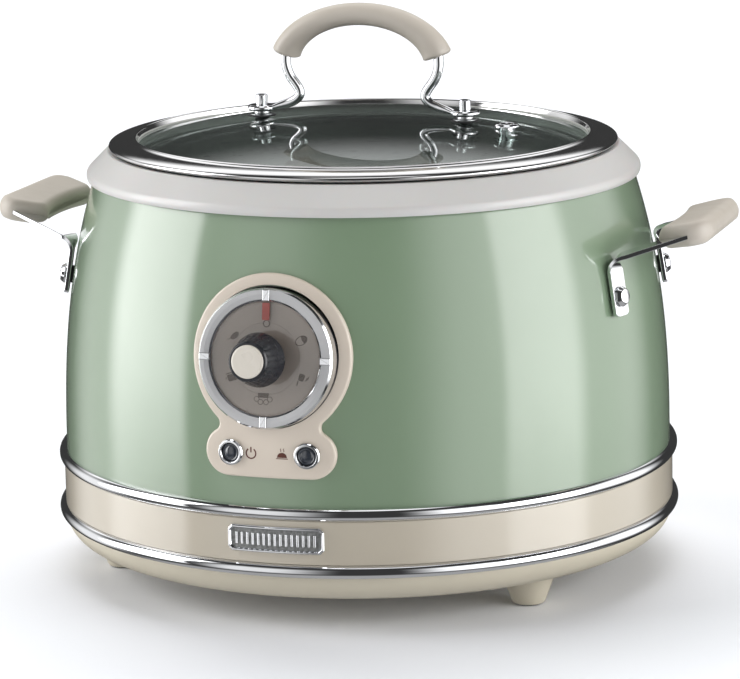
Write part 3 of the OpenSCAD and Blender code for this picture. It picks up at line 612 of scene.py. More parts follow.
def dress(node, material):
    """A CAD node that keeps its own shape gets its finish."""
    obj = frame["nodes"][node]
    if not obj.material_slots:
        obj.data.materials.append(material)
    for s in obj.material_slots:
        s.material = material


# ---------------------------------------------------------------- base
corner_r, corner_h = 18.0, base_z - pan_z
wall = 2.4


def pan_line(inset, steps=20):
    wide, tall = corner_r - inset, corner_h - inset
    return [(pan_r - corner_r + wide * math.sin(math.pi / 2 * i / steps),
             base_z - tall * math.cos(math.pi / 2 * i / steps)) for i in range(steps + 1)]


outer, inner = pan_line(0), pan_line(wall)
pan_profile = [(0, pan_z), (62, pan_z), (100, pan_z)] + outer + inner[::-1]
pan_profile += [(100, pan_z + wall), (0, pan_z + wall)]
slot_mesh = extrude(rectangle(-5.5, 5.5, -1.6, 1.6, 1.5, 4), pan_z - 1, pan_z + wall + 1)
slots = []
for row in range(3):
    for i in range(12):
        turn = turn_z(i * 30 + 15 * (row % 2))
        slots.append(place(slot_mesh, turn @ shift(52 + row * 17)))
foot_frames = [turn_z(55.1 - 90 + 120 * i) @ shift(119.5) for i in range(3)]
foot_bores = [place(drum(2.1, pan_z - 1, pan_z + wall + 1, 24), f) for f in foot_frames]
make("base_pan_shell", revolve(pan_profile, 288), cream, replaces=["base_pan"],
     cutters=slots + foot_bores)

foot_profile = rounded([(0, pan_z - 9), (1.7, pan_z - 9), (1.7, pan_z), (12, pan_z), (12, pan_z - 0.4, 0.2),
                        (7.9, 1.6, 0.6), (7.3, 0.6, 0.4), (6.35, 0.6, 0.2), (6.35, 2.0), (0, 2.0)], 5)
make("foot_cones", repeat(revolve(foot_profile, 64), foot_frames), cream,
     replaces=["feet"])
pad_profile = rounded([(0, 1.9), (6.2, 1.9), (6.2, 0, 0.35), (4.6, 0, 0.2), (4.3, 0.35, 0.1), (3.2, 0.35, 0.1),
                       (2.9, 0, 0.2), (0, 0)], 3)
make("foot_pads_ribbed", repeat(revolve(pad_profile, 48), foot_frames), rubber,
     replaces=["foot_pads"])


def trim(r, z):
    c = (r - trim_h / 2, z + trim_h / 2)
    return ([(r - 6.2, z), (r - 4, z)] + arc(c[0], c[1], trim_h / 2, -90, 90, 28)
            + [(r - 4, z + trim_h), (r - 6.2, z + trim_h)])


for name, r, z in (("lower_trim", lower_r, base_z), ("upper_trim", upper_r, band_top)):
    make(name, revolve(trim(r, z), 384), chrome, replaces=[name + "_ring"])
band_profile = rounded([(band_r - 2.2, band_z), (band_r, band_z, 0.5), (band_r, band_top, 0.5),
                        (band_r - 2.2, band_top)], 5)
make("cream_band", revolve(band_profile, 384), band_mat, replaces=["base_band"])

# ---------------------------------------------------------------- badge
badge_w, badge_h, badge_angle = 45.0, 12.3, 0.9
badge_z = band_z + (band_top - band_z) / 2 + 1.2


def badge_point(x, y, n):
    a = x / band_r + math.radians(badge_angle)
    r = band_r + n
    return (r * math.sin(a), -r * math.cos(a), badge_z + y)


def badge_outline(inset, cut_off=2.0):
    w, h = badge_w / 2 - inset, badge_h / 2 - inset
    c = max(0.4, cut_off - inset * 0.4)
    corners = [(-w, -h + c, 0.5), (-w + c, -h, 0.5), (w - c, -h, 0.5), (w, -h + c, 0.5),
               (w, h - c, 0.5), (w - c, h, 0.5), (-w + c, h, 0.5), (-w, h - c, 0.5)]
    base = rounded(corners, 3)
    out = []
    for i, p in enumerate(base):
        q = base[(i + 1) % len(base)]
        count = 28 if i % 16 == 7 else 1
        out += [(p[0] + (q[0] - p[0]) * k / count, p[1] + (q[1] - p[1]) * k / count) for k in range(count)]
    return out


frame_section = rounded([(0, 0.05), (0, 1.5, 0.5), (0.55, 2.18, 0.35), (1.1, 2.18, 0.35), (1.65, 1.3, 0.3),
                         (1.65, 0.05)], 3)
badge_rings = [[badge_point(x, y, n) for x, y in badge_outline(inset)] for inset, n in frame_section]
badge_frame_mesh = loft(badge_rings, closed=True)
field_cols = 46
field_y = badge_h / 2 - 1.4
field_rings = []
for i in range(field_cols + 1):
    x = -badge_w / 2 + 1.4 + (badge_w - 2.8) * i / field_cols
    field_rings.append([badge_point(x, y, n)
                        for y, n in ((-field_y, 0.05), (field_y, 0.05), (field_y, 0.95), (-field_y, 0.95))])
ribs = []
rib_pitch = 2.6
rib_verts, rib_faces = extrude(rectangle(-0.55, 0.55, -2.9, 2.9, 0.4, 3), 0.5, 1.7, 0.35, 3)
for i in range(-7, 8):
    ribs.append(([badge_point(x + i * rib_pitch, y, n) for x, y, n in rib_verts], rib_faces))
make("badge", [(badge_frame_mesh, chrome), (loft(field_rings), badge_field), (merge(*ribs), chrome)], None,
     replaces=["badge_plate"])

# ---------------------------------------------------------------- painted body
rows = 72
outer = [(body_at(body_z + body_h * i / rows), body_z + body_h * i / rows) for i in range(rows + 1)]
inner = [(r - shell_t, z) for r, z in outer]
holes = [place(drum(32, -14, 20, 96), dial_frame)]
holes += [place(drum(7, -8, 4, 40), f) for f in button_frames]
holes += [place(drum(2.1, -5, 5, 24), f) for f in rivet_frames]
holes.append(place(block(-14.3, 14.3, -10.7, 10.7, -12, 12), inlet_frame))
holes += [place(drum(1.7, -12, 12, 24), inlet_frame @ shift(x)) for x in (-20, 20)]
make("enamelled_body", revolve(outer + inner[::-1], 320), green,
     replaces=["body_shell"], cutters=holes, weighted=False, sharp=30)

# ---------------------------------------------------------------- collar
well_in = 113.2
collar = [(well_in, body_top - 1.5, 0.3), (well_in, ledge_z, 0.6), (118.7, ledge_z, 0.5),
          (118.7, collar_top, 0.5), (collar_r - 10, collar_top, 0.4), (collar_r - 9.4, collar_top - 0.4, 0.5)]
bulge = arc(collar_r - 4, body_top + 1.9, 4, 42, -28, 14)
lower = [(body_top_r + 0.2, body_top, 0.2), (body_top_r - 1.6, body_top), (body_top_r - 1.6, body_top - 6, 0.4),
         (body_top_r - 3.6, body_top - 6, 0.4), (body_top_r - 3.6, body_top - 1.5, 0.3)]
bx, by = bulge[0]
bevel_line = [(bx + (collar_r - 9.4 - bx) * t, by + (collar_top - 0.4 - by) * t, 0) for t in (0.75, 0.5, 0.25)]
collar_profile = rounded(collar + bevel_line + [(*p, 0) for p in bulge] + lower, 6)
make("white_collar", revolve(collar_profile, 384), white, replaces=["top_collar"])

# ---------------------------------------------------------------- control panel
dial_z = dial_frame.translation.z
panel_r, bar_r, bar_x, neck_r = 37.3, 11.0, 19.7, 3.5
button_z = button_frames[0].translation.z


def panel_outline():
    """A disc above a bar with round ends, with a concave fillet at each side of the neck."""
    def swept(c, r, a0, a1, n):
        return [(c[0] + r * math.cos(a0 + (a1 - a0) * i / n), c[1] + r * math.sin(a0 + (a1 - a0) * i / n))
                for i in range(n + 1)]

    c1, c2 = Vector((0, dial_z)), Vector((bar_x, button_z))
    d = (c2 - c1).length
    r1, r2 = panel_r + neck_r, bar_r + neck_r
    along = (r1 * r1 - r2 * r2 + d * d) / (2 * d)
    away = math.sqrt(r1 * r1 - along * along)
    u = (c2 - c1) / d
    c3 = c1 + along * u + away * Vector((-u.y, u.x))
    top = math.atan2(c3.y - c1.y, c3.x - c1.x)
    low = math.atan2(c3.y - c2.y, c3.x - c2.x)
    right = swept(c2, bar_r, -math.pi / 2, low, 24)
    a0 = math.atan2(c2.y - c3.y, c2.x - c3.x)
    a1 = math.atan2(c1.y - c3.y, c1.x - c3.x)
    if a0 < 0:
        a0 += TAU
    fillet = swept(c3, neck_r, a0, a1, 10)
    right_side = right + fillet[1:-1] + swept(c1, panel_r, top, math.pi / 2, 60)
    left_side = [(-x, y) for x, y in right_side[::-1]][1:]
    bottom = [(x, button_z - bar_r) for x in (-15, -10, -5, 0, 5, 10, 15)]
    return right_side + left_side + bottom


def wrap(x, z, depth):
    """A point of the flat panel laid on the body, depth millimetres outside the painted surface."""
    lean = lean_at(z)
    r = body_at(z) + depth * math.cos(lean)
    return (x, -math.sqrt(max(0.0, r * r - x * x)), z + depth * math.sin(lean))


outline = panel_outline()
edge = 1.1
face_line = shrink(outline, edge)
panel_holes = [(Vector((0, dial_z + 0.3)), 31.75, 96)]
panel_holes += [(Vector((f.translation.x, button_z)), 5.1, 40) for f in button_frames]
hole_lines = [[(c.x + r * math.cos(-TAU * i / n), c.y + r * math.sin(-TAU * i / n)) for i in range(n)]
              for c, r, n in panel_holes]
points, edges = [], []
for line in [face_line] + hole_lines:
    base = len(points)
    points += [Vector(p[:2]) for p in line]
    edges += [(base + i, base + (i + 1) % len(line)) for i in range(len(line))]
n_edge = len(face_line)

# Points on a grid, clear of the lines, let the flat cover bend with the body.
grid_step, grid_low, line_gap = 2.3, 71.0, 1.2
grid = [Vector((i * grid_step, grid_low + j * grid_step)) for i in range(-16, 17) for j in range(42)]
grid = [p for p in grid if all((p - q).length > line_gap for q in points)]
tri_verts, _, tri_faces, orig, _, _ = delaunay_2d_cdt(points + grid, edges, [], 1, 1e-6)


def in_hole(f):
    c = sum((tri_verts[i] for i in f), Vector((0, 0))) / len(f)
    return any((c - h).length < r * 0.995 for h, r, _ in panel_holes)


tri_faces = [f for f in tri_faces if not in_hole(f)]
verts = [wrap(p.x, p.y, panel_t) for p in tri_verts]
faces = [list(f) for f in tri_faces]
front_of = {}
for i, o in enumerate(orig):
    for k in o:
        front_of[k] = i
back_at = len(verts)
verts += [wrap(p.x, p.y, 0.12) for p in tri_verts]
faces += [[i + back_at for i in reversed(f)] for f in tri_faces]
rim_rings = [[front_of[i] for i in range(n_edge)]]
steps = 6
for s in range(1, steps + 1):
    a = math.pi / 2 * s / steps
    base = len(verts)
    ring = shrink(outline, edge * (1 - math.sin(a)))
    verts += [wrap(p[0], p[1], panel_t - edge * (1 - math.cos(a))) for p in ring]
    rim_rings.append(list(range(base, base + n_edge)))
base = len(verts)
verts += [wrap(p[0], p[1], 0.12) for p in outline]
rim_rings.append(list(range(base, base + n_edge)))
rim_rings.append([front_of[i] + back_at for i in range(n_edge)])
for a, b in zip(rim_rings, rim_rings[1:]):
    faces += [[a[i], a[(i + 1) % n_edge], b[(i + 1) % n_edge], b[i]] for i in range(n_edge)]
at = n_edge
for line in hole_lines:
    k = len(line)
    ids = [front_of[at + i] for i in range(k)]
    faces += [[ids[i], ids[(i + 1) % k], ids[(i + 1) % k] + back_at, ids[i] + back_at] for i in range(k)]
    at += k
make("control_panel_cover", (verts, faces), panel_mat, replaces=["control_panel"],
     weighted=False, sharp=45)


# ---------------------------------------------------------------- printed signs
def stroke(points, width, closed=False):
    """An outline round an open line of the given width."""
    left, right = [], []
    n = len(points)
    for i, p in enumerate(points):
        a = Vector(points[i - 1] if i > 0 or closed else points[0])
        b = Vector(points[(i + 1) % n] if i < n - 1 or closed else points[-1])
        d = (b - a).normalized()
        m = Vector((-d.y, d.x)) * width / 2
        left.append(tuple(Vector(p) + m))
        right.append(tuple(Vector(p) - m))
    return left, right


def ribbon(points, width, put):
    """A raised ribbon along a line, put() maps (x, y, height) into the model."""
    left, right = stroke(points, width)
    rings = []
    for l, r in zip(left, right):
        rings.append([put(*l, -0.3), put(*l, 0.03), put(*r, 0.03), put(*r, -0.3)])
    return loft(rings)


def flat(points, put):
    return loft([[put(x, y, -0.3) for x, y in points], [put(x, y, 0.03) for x, y in points]])


def panel_put(cx):
    return lambda x, y, h: wrap(cx + x, button_z + y, panel_t + h)


power = panel_put(-8.2)
signs = [ribbon(arc(0, 0, 2.3, 125, 415, 28), 0.62, power),
         ribbon([(0, 0.4), (0, 1.5), (0, 2.9)], 0.62, power)]
warm = panel_put(6.4)
dome = [(-2.4, -1.3)] + oval(2.2, 1.9, 180, -1, -12, cy=-0.9) + [(2.4, -1.3)]
signs += [flat(dome[::-1], warm), ribbon([(-2.7, -1.75), (0, -1.75), (2.7, -1.75)], 0.4, warm)]
for x in (-0.7, 0.7):
    signs.append(ribbon(spline([(x, 1.4), (x + 0.35, 1.9), (x - 0.1, 2.4), (x + 0.3, 2.9)], 4), 0.28, warm))
make("panel_signs", merge(*signs), symbol_ink, weighted=False)

# ---------------------------------------------------------------- dial
bezel = rounded([(29.0, 1.0), (31.4, 1.0, 0.15), (31.4, 6.6, 0.5), (30.5, 7.95, 0.45), (28.6, 8.0, 0.3),
                 (26.4, 7.7, 0.3), (25.5, 7.0, 0.35), (25.5, 6.45, 0.1), (29.0, 6.45)], 5)
front_z = 7.66
tick = extrude(rectangle(25.7, 30.7, -1.55, 1.55, 0.2, 2), 7.2, 8.5, 0.35, 3)
ticks = repeat(tick, [turn_z(90 * i) for i in range(4)])
verts, faces = revolve(bezel, 192)
front = [f for f in faces if all(verts[i][2] > front_z for i in f)]
sides = [f for f in faces if not all(verts[i][2] > front_z for i in f)]
make("dial_bezel_ring", [(place((verts, sides), dial_frame), chrome),
                         (place((verts, front), dial_frame), silver),
                         (place(ticks, dial_frame), chrome)], None, replaces=["dial_bezel"])
face = rounded([(4, 4.9), (28.8, 4.9), (28.8, 6.2, 0.2), (16.2, 6.2, 0.3), (15.9, 6.05, 0.1), (10.5, 6.05),
                (4, 6.05)], 3)
make("dial_plate", place(revolve(face, 128), dial_frame), dial_mat, replaces=["dial_face"])


def dial_put(angle, r, turn=0.0, level=6.2):
    """Clock angle in degrees, clockwise from the top, seen from the front."""
    a = math.radians(90 - angle)
    m = dial_frame @ shift(r * math.cos(a), r * math.sin(a), level) @ turn_z(turn)
    return lambda x, y, h: tuple(m @ Vector((x, y, h)))


icons = []
put = dial_put(0, 15.6)
icons.append(ribbon(arc(0, 0, 1.45, 90, 450, 24), 0.42, put))
put = dial_put(62, 18.6, 30)
icons.append(ribbon(oval(2.9, 1.9, 0, 361, 15), 0.34, put))
icons.append(flat(oval(2.9, 1.9, -80, 81, 10) + [(0.5, 0.9), (0.2, 0), (0.5, -0.9)], put))
put = dial_put(116, 18.6, 0)
icons.append(flat(rounded([(-1.4, -0.6, 0.5), (0.9, -1.4, 0.6), (2.2, 1.6, 0.7), (-0.6, 2.6, 0.8)], 4), put))
for k in range(3):
    icons.append(ribbon([(1.9 + k * 0.6, -1.2 + k * 0.35), (2.9 + k * 0.5, 0.5 + k * 0.35)], 0.26, put))
icons.append(ribbon([(-1.3, -1.0), (-1.9, -3.2)], 0.5, put))
put = dial_put(182, 17.6, 0)
icons.append(flat(rounded([(-2.3, 0.2, 0.4), (2.3, 0.2, 0.4), (2.7, 2.3, 0.3), (-2.7, 2.3, 0.3)], 3), put))
for x, y in ((-3.1, -0.4), (-1.3, -1.7), (1.3, -1.7), (3.1, -0.4)):
    icons.append(ribbon(oval(1.15, 1.15, 0, 361, 24, x, y), 0.3, put))
put = dial_put(240, 17.8, 18)
icons.append(flat(rounded([(-2.0, -1.6, 0.5), (2.0, -1.6, 0.5), (2.3, 1.5, 0.4), (-2.3, 1.5, 0.4)], 4), put))
icons.append(ribbon([(-2.6, 2.1), (2.6, 2.1)], 0.45, put))
icons.append(ribbon([(-2.4, 0.6), (-3.2, 0.4), (-2.4, -0.3)], 0.3, put))
put = dial_put(303, 17.6, 40)
icons.append(flat([(2.5 * math.cos(math.radians(a)) * (1 if a < 180 else 0.9), 1.25 * math.sin(math.radians(a)))
                   for a in range(0, 360, 20)], put))
icons.append(ribbon([(-2.6, 0.3), (-3.6, 0.9)], 0.3, put))
make("dial_signs", merge(*icons), ink, weighted=False)

disc = rounded([(3.0, 6.5), (25.1, 6.5, 0.1), (25.1, 7.3, 0.2), (5.0, 7.3, 0.1), (5.0, 8.0, 0.1), (3.0, 8.0)], 3)
make("pointer_plate", place(revolve(disc, 128), dial_frame), clear_mat, body="knob",
     replaces=["pointer_disc"])
needle_line = rounded([(-1.7, 17.2, 0.3), (1.7, 17.2, 0.3), (1.7, 24.9, 0.2), (-1.7, 24.9, 0.2)], 3)
needle = extrude(needle_line, 7.3, 7.8, 0.15, 2)
make("pointer_mark", place(needle, dial_frame), red, body="knob",
     replaces=["pointer_needle"])

knob_line = rounded([(3.0, 8.0), (9.2, 8.0, 0.2), (9.8, 8.9, 0.5), (11.9, 14.6, 1.0), (12.2, 15.8, 0.8),
                     (12.0, 16.9, 0.8), (8.95, 30.0, 0.7), (8.3, 30.85, 0.5), (7.45, 30.85, 0.15), (7.45, 29.6),
                     (3.0, 29.6)], 6)


def knob_rings():
    """The knob's side in fine rows, so that its shallow flutes have rounded ends."""
    line = []
    for i, p in enumerate(knob_line):
        q = knob_line[(i + 1) % len(knob_line)]
        n = max(1, int(abs(q[1] - p[1]) / 0.8))
        line += [(p[0] + (q[0] - p[0]) * k / n, p[1] + (q[1] - p[1]) * k / n) for k in range(n)]
    return line


verts, faces = revolve(knob_rings(), 200)
fluted = []
flutes, flute_depth, flute_low, flute_top = 20, 0.28, 17.6, 29.9
for x, y, z in verts:
    r = math.hypot(x, y)
    if r > 8.4 and flute_low < z < flute_top:
        wave = max(0.0, math.cos(math.atan2(y, x) * flutes)) ** 2
        fade = min(1.0, (z - flute_low) / 2.0, (flute_top - z) / 1.0)
        k = (r - flute_depth * wave * fade) / r
        x, y = x * k, y * k
    fluted.append((x, y, z))
make("knob_grip", place((fluted, faces), dial_frame), black, body="knob",
     replaces=["knob_body"], sharp=50)
cap = rounded([(0, 29.6), (7.4, 29.6), (7.4, 31.3, 0.5), (6.6, 31.62, 0.4), (0, 31.7)], 6)
make("knob_cap_disc", place(revolve(cap, 96), dial_frame), cap_mat, body="knob",
     replaces=["knob_cap"])

# ---------------------------------------------------------------- push buttons
ring_line = rounded([(4.25, -5.0), (5.0, -5.0, 0.1), (5.0, 0.2), (6.1, 0.2, 0.1), (6.1, 0.9, 0.5),
                     (5.5, 1.75, 0.5), (4.6, 1.85, 0.3), (4.25, 1.3, 0.3)], 5)
make("button_rings", repeat(revolve(ring_line, 80), button_frames), chrome,
     replaces=["button_bezels"])
key_line = [(0, -11), (1.8, -11), (1.8, -7), (4.7, -7), (4.7, -5.5), (4.0, -5.5), (4.0, 0.7), (3.85, 0.95),
            (3.5, 1.0), (3.2, 0.75), (2.9, 0.72)]
key_line += [(2.9 - 2.9 * i / 8, 0.72 + 0.75 * (1 - (1 - i / 8) ** 2) ** 0.8) for i in range(1, 9)]
for f, name in zip(button_frames, ("power", "keep_warm")):
    make(name + "_key_lens", place(revolve(key_line, 72), f), lens, body=name + "_key",
         replaces=[name + "_button"])

# ---------------------------------------------------------------- side handles
arm_end = Vector((167, 31.4, 168.7))


def strap_path():
    t, s = math.radians(rivet_angle), lean_at(rivet_z)
    out = Vector((math.cos(s) * math.cos(t), math.cos(s) * math.sin(t), math.sin(s)))
    up = Vector((-math.sin(s) * math.cos(t), -math.sin(s) * math.sin(t), math.cos(s)))
    r = body_at(rivet_z)
    middle = Vector((r * math.cos(t), r * math.sin(t), rivet_z)) + (strap_gap + strap_t / 2) * out
    side = Vector((-math.sin(t), math.cos(t), 0))
    top = middle + 12 * up
    corner = middle + 17.5 * up
    arm = (arm_end - corner).normalized()
    arm_side = Vector((0, 0, 1)).cross(arm).normalized()
    start = corner + 5.5 * arm
    path = [(middle - (8.8 - 0.5 * k) * up, side, w) for k, w in ((0, 0.55), (0.5, 0.75), (1.3, 0.9), (3, 1.0))]
    path += [(middle + d * up, side, 1.0) for d in (-5, -2, 1, 4, 7, 10)]
    path += [(top, side, 1.0)]
    for i in range(1, 12):
        k = i / 12
        path.append(((1 - k) ** 2 * top + 2 * k * (1 - k) * corner + k * k * start,
                     ((1 - k) * side + k * arm_side).normalized(), 1.0))
    for i in range(0, 9):
        k = i / 8
        path.append((start + (arm_end - start) * k, arm_side, 1.0 - 0.18 * k))
    return path


def strap_rings(mirror):
    path = strap_path()
    rings = []
    for i, (p, side, width) in enumerate(path):
        ahead = path[min(i + 1, len(path) - 1)][0] - path[max(i - 1, 0)][0]
        along = ahead.normalized()
        side = (side - side.dot(along) * along).normalized()
        face = along.cross(side)
        w, h = strap_w / 2 * width, strap_t / 2
        ring = []
        for c in rectangle(-w, w, -h, h, 0.35, 3):
            q = p + c[0] * side + c[1] * face
            ring.append((q.x * mirror[0], q.y * mirror[1], q.z))
        rings.append(ring)
    return rings


for x_side, side_name in ((1, "right"), (-1, "left")):
    bores = [place(drum(2.1, -1, 8, 24), f) for f in rivet_frames if f.translation.x * x_side > 0]
    straps = merge(loft(strap_rings((x_side, 1))), loft(strap_rings((x_side, -1))))
    make(side_name + "_straps", straps, chrome, replaces=[side_name + "_handle_straps"],
         cutters=bores)

strap_top = strap_gap + strap_t
rivet_line = rounded([(0, strap_top), (4.6, strap_top, 0.1), (4.72, strap_top + 0.9, 0.5),
                      (3.5, strap_top + 2.8, 0.9), (1.4, strap_top + 3.15, 0.6), (0, strap_top + 3.18)], 6)
shank_line = [(0, -shell_t - 1.7), (3.95, -shell_t - 1.7), (3.95, -shell_t - 0.2), (2.05, -shell_t - 0.2),
              (2.05, strap_top + 0.02), (0, strap_top + 0.02)]
make("rivets", repeat(merge(revolve(rivet_line, 64), revolve(shank_line, 32)), rivet_frames), chrome,
     replaces=["handle_rivets"])
spacer_line = rounded([(2.1, 0), (4.2, 0, 0.2), (4.2, strap_gap, 0.2), (2.1, strap_gap)], 3)
make("strap_spacers", repeat(revolve(spacer_line, 48), rivet_frames), rubber,
     replaces=["handle_spacers"])

grip_x, grip_z, grip_tilt = 162.0, 167.8, math.radians(12)
grip_half, grip_in, grip_out = 37.0, -13.5, 14.0


def grip_length(u):
    if u < 4:
        return grip_half - 7.5 * (4 - u) / 17.5
    return grip_half - 12 + 12 * math.sqrt(max(0.0, 1 - ((u - 4) / 10.3) ** 2))


def grip_thick(u):
    edge_at = min(u - grip_in, grip_out - u)
    if edge_at > 5.5:
        return 5.5
    return 0.9 + 4.6 * math.sqrt(max(0.0, 1 - ((5.5 - edge_at) / 5.5) ** 2))


def grip_ring(u, mirror):
    half, thick = grip_length(u), grip_thick(u)
    corner = min(4.2, thick)
    hollow = 5 * max(0.0, (3 - u) / (3 - grip_in))
    ring = []
    for q in range(4):
        ys = 1 if q in (0, 3) else -1
        ws = 1 if q > 1 else -1
        for k in range(9):
            a = math.radians(-90 * q - 90 * k / 8)
            y = ys * (half - 4) + 4 * math.cos(a)
            w = ws * (thick - corner) + corner * math.sin(a)
            ring.append((y, w))
        if q in (0, 2):
            y0 = ys * (half - 4)
            for k in range(1, 10):
                ring.append((y0 - ys * 2 * (half - 4) * k / 10, ws * thick))
    out = []
    for y, w in ring:
        o = u + hollow * (1 - (y / grip_half) ** 2)
        out.append(((grip_x - 0.05 + o * math.cos(grip_tilt) - w * math.sin(grip_tilt)) * mirror, y,
                    grip_z + o * math.sin(grip_tilt) + w * math.cos(grip_tilt)))
    return out


grip_rows = [0, 0.15, 0.5, 1.0, 1.7, 2.6, 3.6, 4.8, 6.2, 8.5, 11, 13.5, 16, 18, 19.5, 21, 22.2, 23.3, 24.3,
             25.2, 25.9, 26.5, 26.9, 27.2, 27.4, 27.5]
first_arm_ring, strap_room = 16, 1.03
for mirror, side_name in ((1, "right"), (-1, "left")):
    tools = []
    for ys in (1, -1):
        rings = strap_rings((mirror, ys))[first_arm_ring:]
        mid = [sum((Vector(p) for p in ring), Vector((0, 0, 0))) / len(ring) for ring in rings]
        grown = [[tuple(m + (Vector(p) - m) * strap_room) for p in ring] for ring, m in zip(rings, mid)]
        tools.append(loft(grown))
    make(side_name + "_grip", loft([grip_ring(grip_in + d, mirror) for d in grip_rows]), grip_mat,
         replaces=[side_name + "_handle_grip"], cutters=tools, sharp=60, weighted=False)

# ---------------------------------------------------------------- pot
pot_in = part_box("inner_pot")[0].z * 1000
pot_r, pot_t = 110.0, 1.6
bend = 14.0
out_r = pot_r + pot_t
pot_line = [(0, pot_in), (40, pot_in), (70, pot_in)] + arc(out_r - bend, pot_in + bend, bend, -90, 0, 12)
pot_line += [(out_r, ledge_z - 40), (out_r, ledge_z + 0.3), (pot_r + 7.4, ledge_z + 0.3)]
pot_line += arc(pot_r + 7.4, ledge_z + 0.9, 0.6, -90, 90, 6)[1:]
pot_line += [(pot_r + 1.0, ledge_z + 1.5), (pot_r + 0.3, ledge_z + 1.3), (pot_r, ledge_z + 0.8),
             (pot_r, ledge_z - 40)]
pot_line += arc(out_r - bend, pot_in + bend, bend - pot_t, 0, -90, 12)
pot_line += [(r, pot_in + pot_t) for r in (70, 40, 0)]
make("cooking_pot", revolve(pot_line, 256), pot_mat, body="pot", replaces=["inner_pot"])

# ---------------------------------------------------------------- lid
rows = 20
top_line = [(glass_edge_r * i / rows, glass_at(glass_edge_r * i / rows)) for i in range(rows + 1)]
low_line = [(r, z - glass_t) for r, z in top_line]
edge_z, under_z = top_line[-1][1], low_line[-1][1]
glass_line = top_line[:-1] + [(glass_edge_r - 0.5, edge_z + 0.02), (glass_edge_r, edge_z - 0.5),
                              (glass_edge_r, under_z + 0.5), (glass_edge_r - 0.5, under_z)]
glass_line += low_line[:-1][::-1]
bolt_frames = [shift(-bolt_x), shift(bolt_x)]
bores = [place(drum(3.4, 195, 215, 48), f) for f in bolt_frames]
bores.append(place(drum(4.1, 195, 215, 48), shift(vent_x)))
make("domed_glass", revolve(glass_line, 256), glass_mat, body="lid",
     replaces=["lid_glass"], cutters=bores, weighted=False, sharp=30)

edge_top = glass_at(107)
gasket_t = 0.9
seat = glass_edge_r + gasket_t + 0.05
seat_top = glass_at(glass_edge_r)
low = seat_top - glass_t - gasket_t - 0.15
crest = rim_z + 7.5
outer_curve = spline([(rim_r - 0.35, lip_z + 0.35), (rim_r, lip_z + 1.2), (rim_r - 0.55, lip_z + 2.1),
                      (118.4, rim_z + 5.2), (116, rim_z + 5.8), (113.4, rim_z + 6.2),
                      (111.4, rim_z + 6.45), (110.3, rim_z + 6.8), (109.6, crest - 0.25)], 5)
rim_line = [(107, edge_top + gasket_t + 0.05), (seat, seat_top + gasket_t + 0.05), (seat, low), (107, low),
            (107, low - 0.8), (seat + 0.7, low - 0.8), (seat + 0.7, rim_z + 2.6), (117.5, lip_z + 0.6),
            (118.4, lip_z + 0.05), (rim_r - 0.9, lip_z)]
rim_line += outer_curve + arc(108.6, crest - 0.9, 0.95, 50, 180, 10)
make("lid_steel_rim", revolve(rim_line, 384), steel, body="lid", replaces=["lid_rim"],
     sharp=32)

legs = [(45.4, 0), (42, 1), (37, 2.4), (33.4, 4.1), (31.3, 6.4), (31.5, 9), (33.4, 12), (35.6, 15),
        (37.2, 18.6), (37.9, 22), (37.9, 25), (37.8, 30.4)]
leg_r = 2.3


def leg_mesh(side):
    line = spline(legs, 4)
    rings = []
    for i, p in enumerate(line):
        a, b = Vector(line[max(i - 1, 0)]), Vector(line[min(i + 1, len(line) - 1)])
        t = (b - a).normalized()
        k = min(1.0, i / 8)
        flat_k, wide_k = 0.52 + 0.48 * k, 1.4 - 0.4 * k
        ring = []
        for s in range(24):
            c = TAU * s / 24
            ring.append((side * (p[0] - leg_r * flat_k * math.cos(c) * t.y), leg_r * wide_k * math.sin(c),
                         eyelet_z + p[1] + leg_r * flat_k * math.cos(c) * t.x))
        rings.append(ring)
    eyelet = rounded([(2.25, -1.3, 0.2), (6.0, -1.3, 0.4), (6.8, -0.5, 0.5), (6.8, 0.5, 0.5), (6.0, 1.3, 0.4),
                      (2.25, 1.3, 0.2)], 4)
    return merge(loft(rings), place(revolve(eyelet, 64), shift(side * bolt_x, 0, eyelet_z)))


make("handle_legs", merge(leg_mesh(1), leg_mesh(-1)), chrome, body="lid",
     replaces=["lid_handle_legs"], sharp=45)

arch_half, arch_end, arch_rise, arch_z = 38.5, 75.0, 25.0, glass_top + 22.8
arch_squareness = 0.9


def arch(u):
    u = math.radians(u)
    return Vector((arch_half * math.sin(u), arch_z + arch_rise * math.cos(u)))


rings = []
ends = [(2.4, 2.9), (2.4, 2.3), (2.1, 1.35), (1.5, 0.7), (0.8, 0.3), (0, 0.05)]
stations = ([(-arch_end - more, inset) for more, inset in ends] + [(u, 0) for u in range(-73, 74, 2)]
            + [(arch_end + more, inset) for more, inset in reversed(ends)])
for u, inset in stations:
    p = arch(u)
    t = (arch(u + 0.5) - arch(u - 0.5)).normalized()
    r = 5.35 + 1.4 * (u / arch_end) ** 2 - inset
    ring = []
    for k in range(44):
        b = TAU * k / 44
        c, s = math.cos(b), math.sin(b)
        cx = math.copysign(abs(c) ** arch_squareness, c)
        sy = math.copysign(abs(s) ** arch_squareness, s)
        ring.append((p[0] - r * cx * 0.985 * t.y, 1.28 * r * sy * 0.985, p[1] + r * cx * 0.985 * t.x))
    rings.append(ring)
holes = [place(drum(leg_r + 0.3, arch_z - 1.4, arch_z + 10, 32), shift(x * 37.75)) for x in (-1, 1)]
make("arched_grip", loft(rings), grip_mat, body="lid", replaces=["lid_handle_grip"],
     cutters=holes, sharp=50, weighted=False)

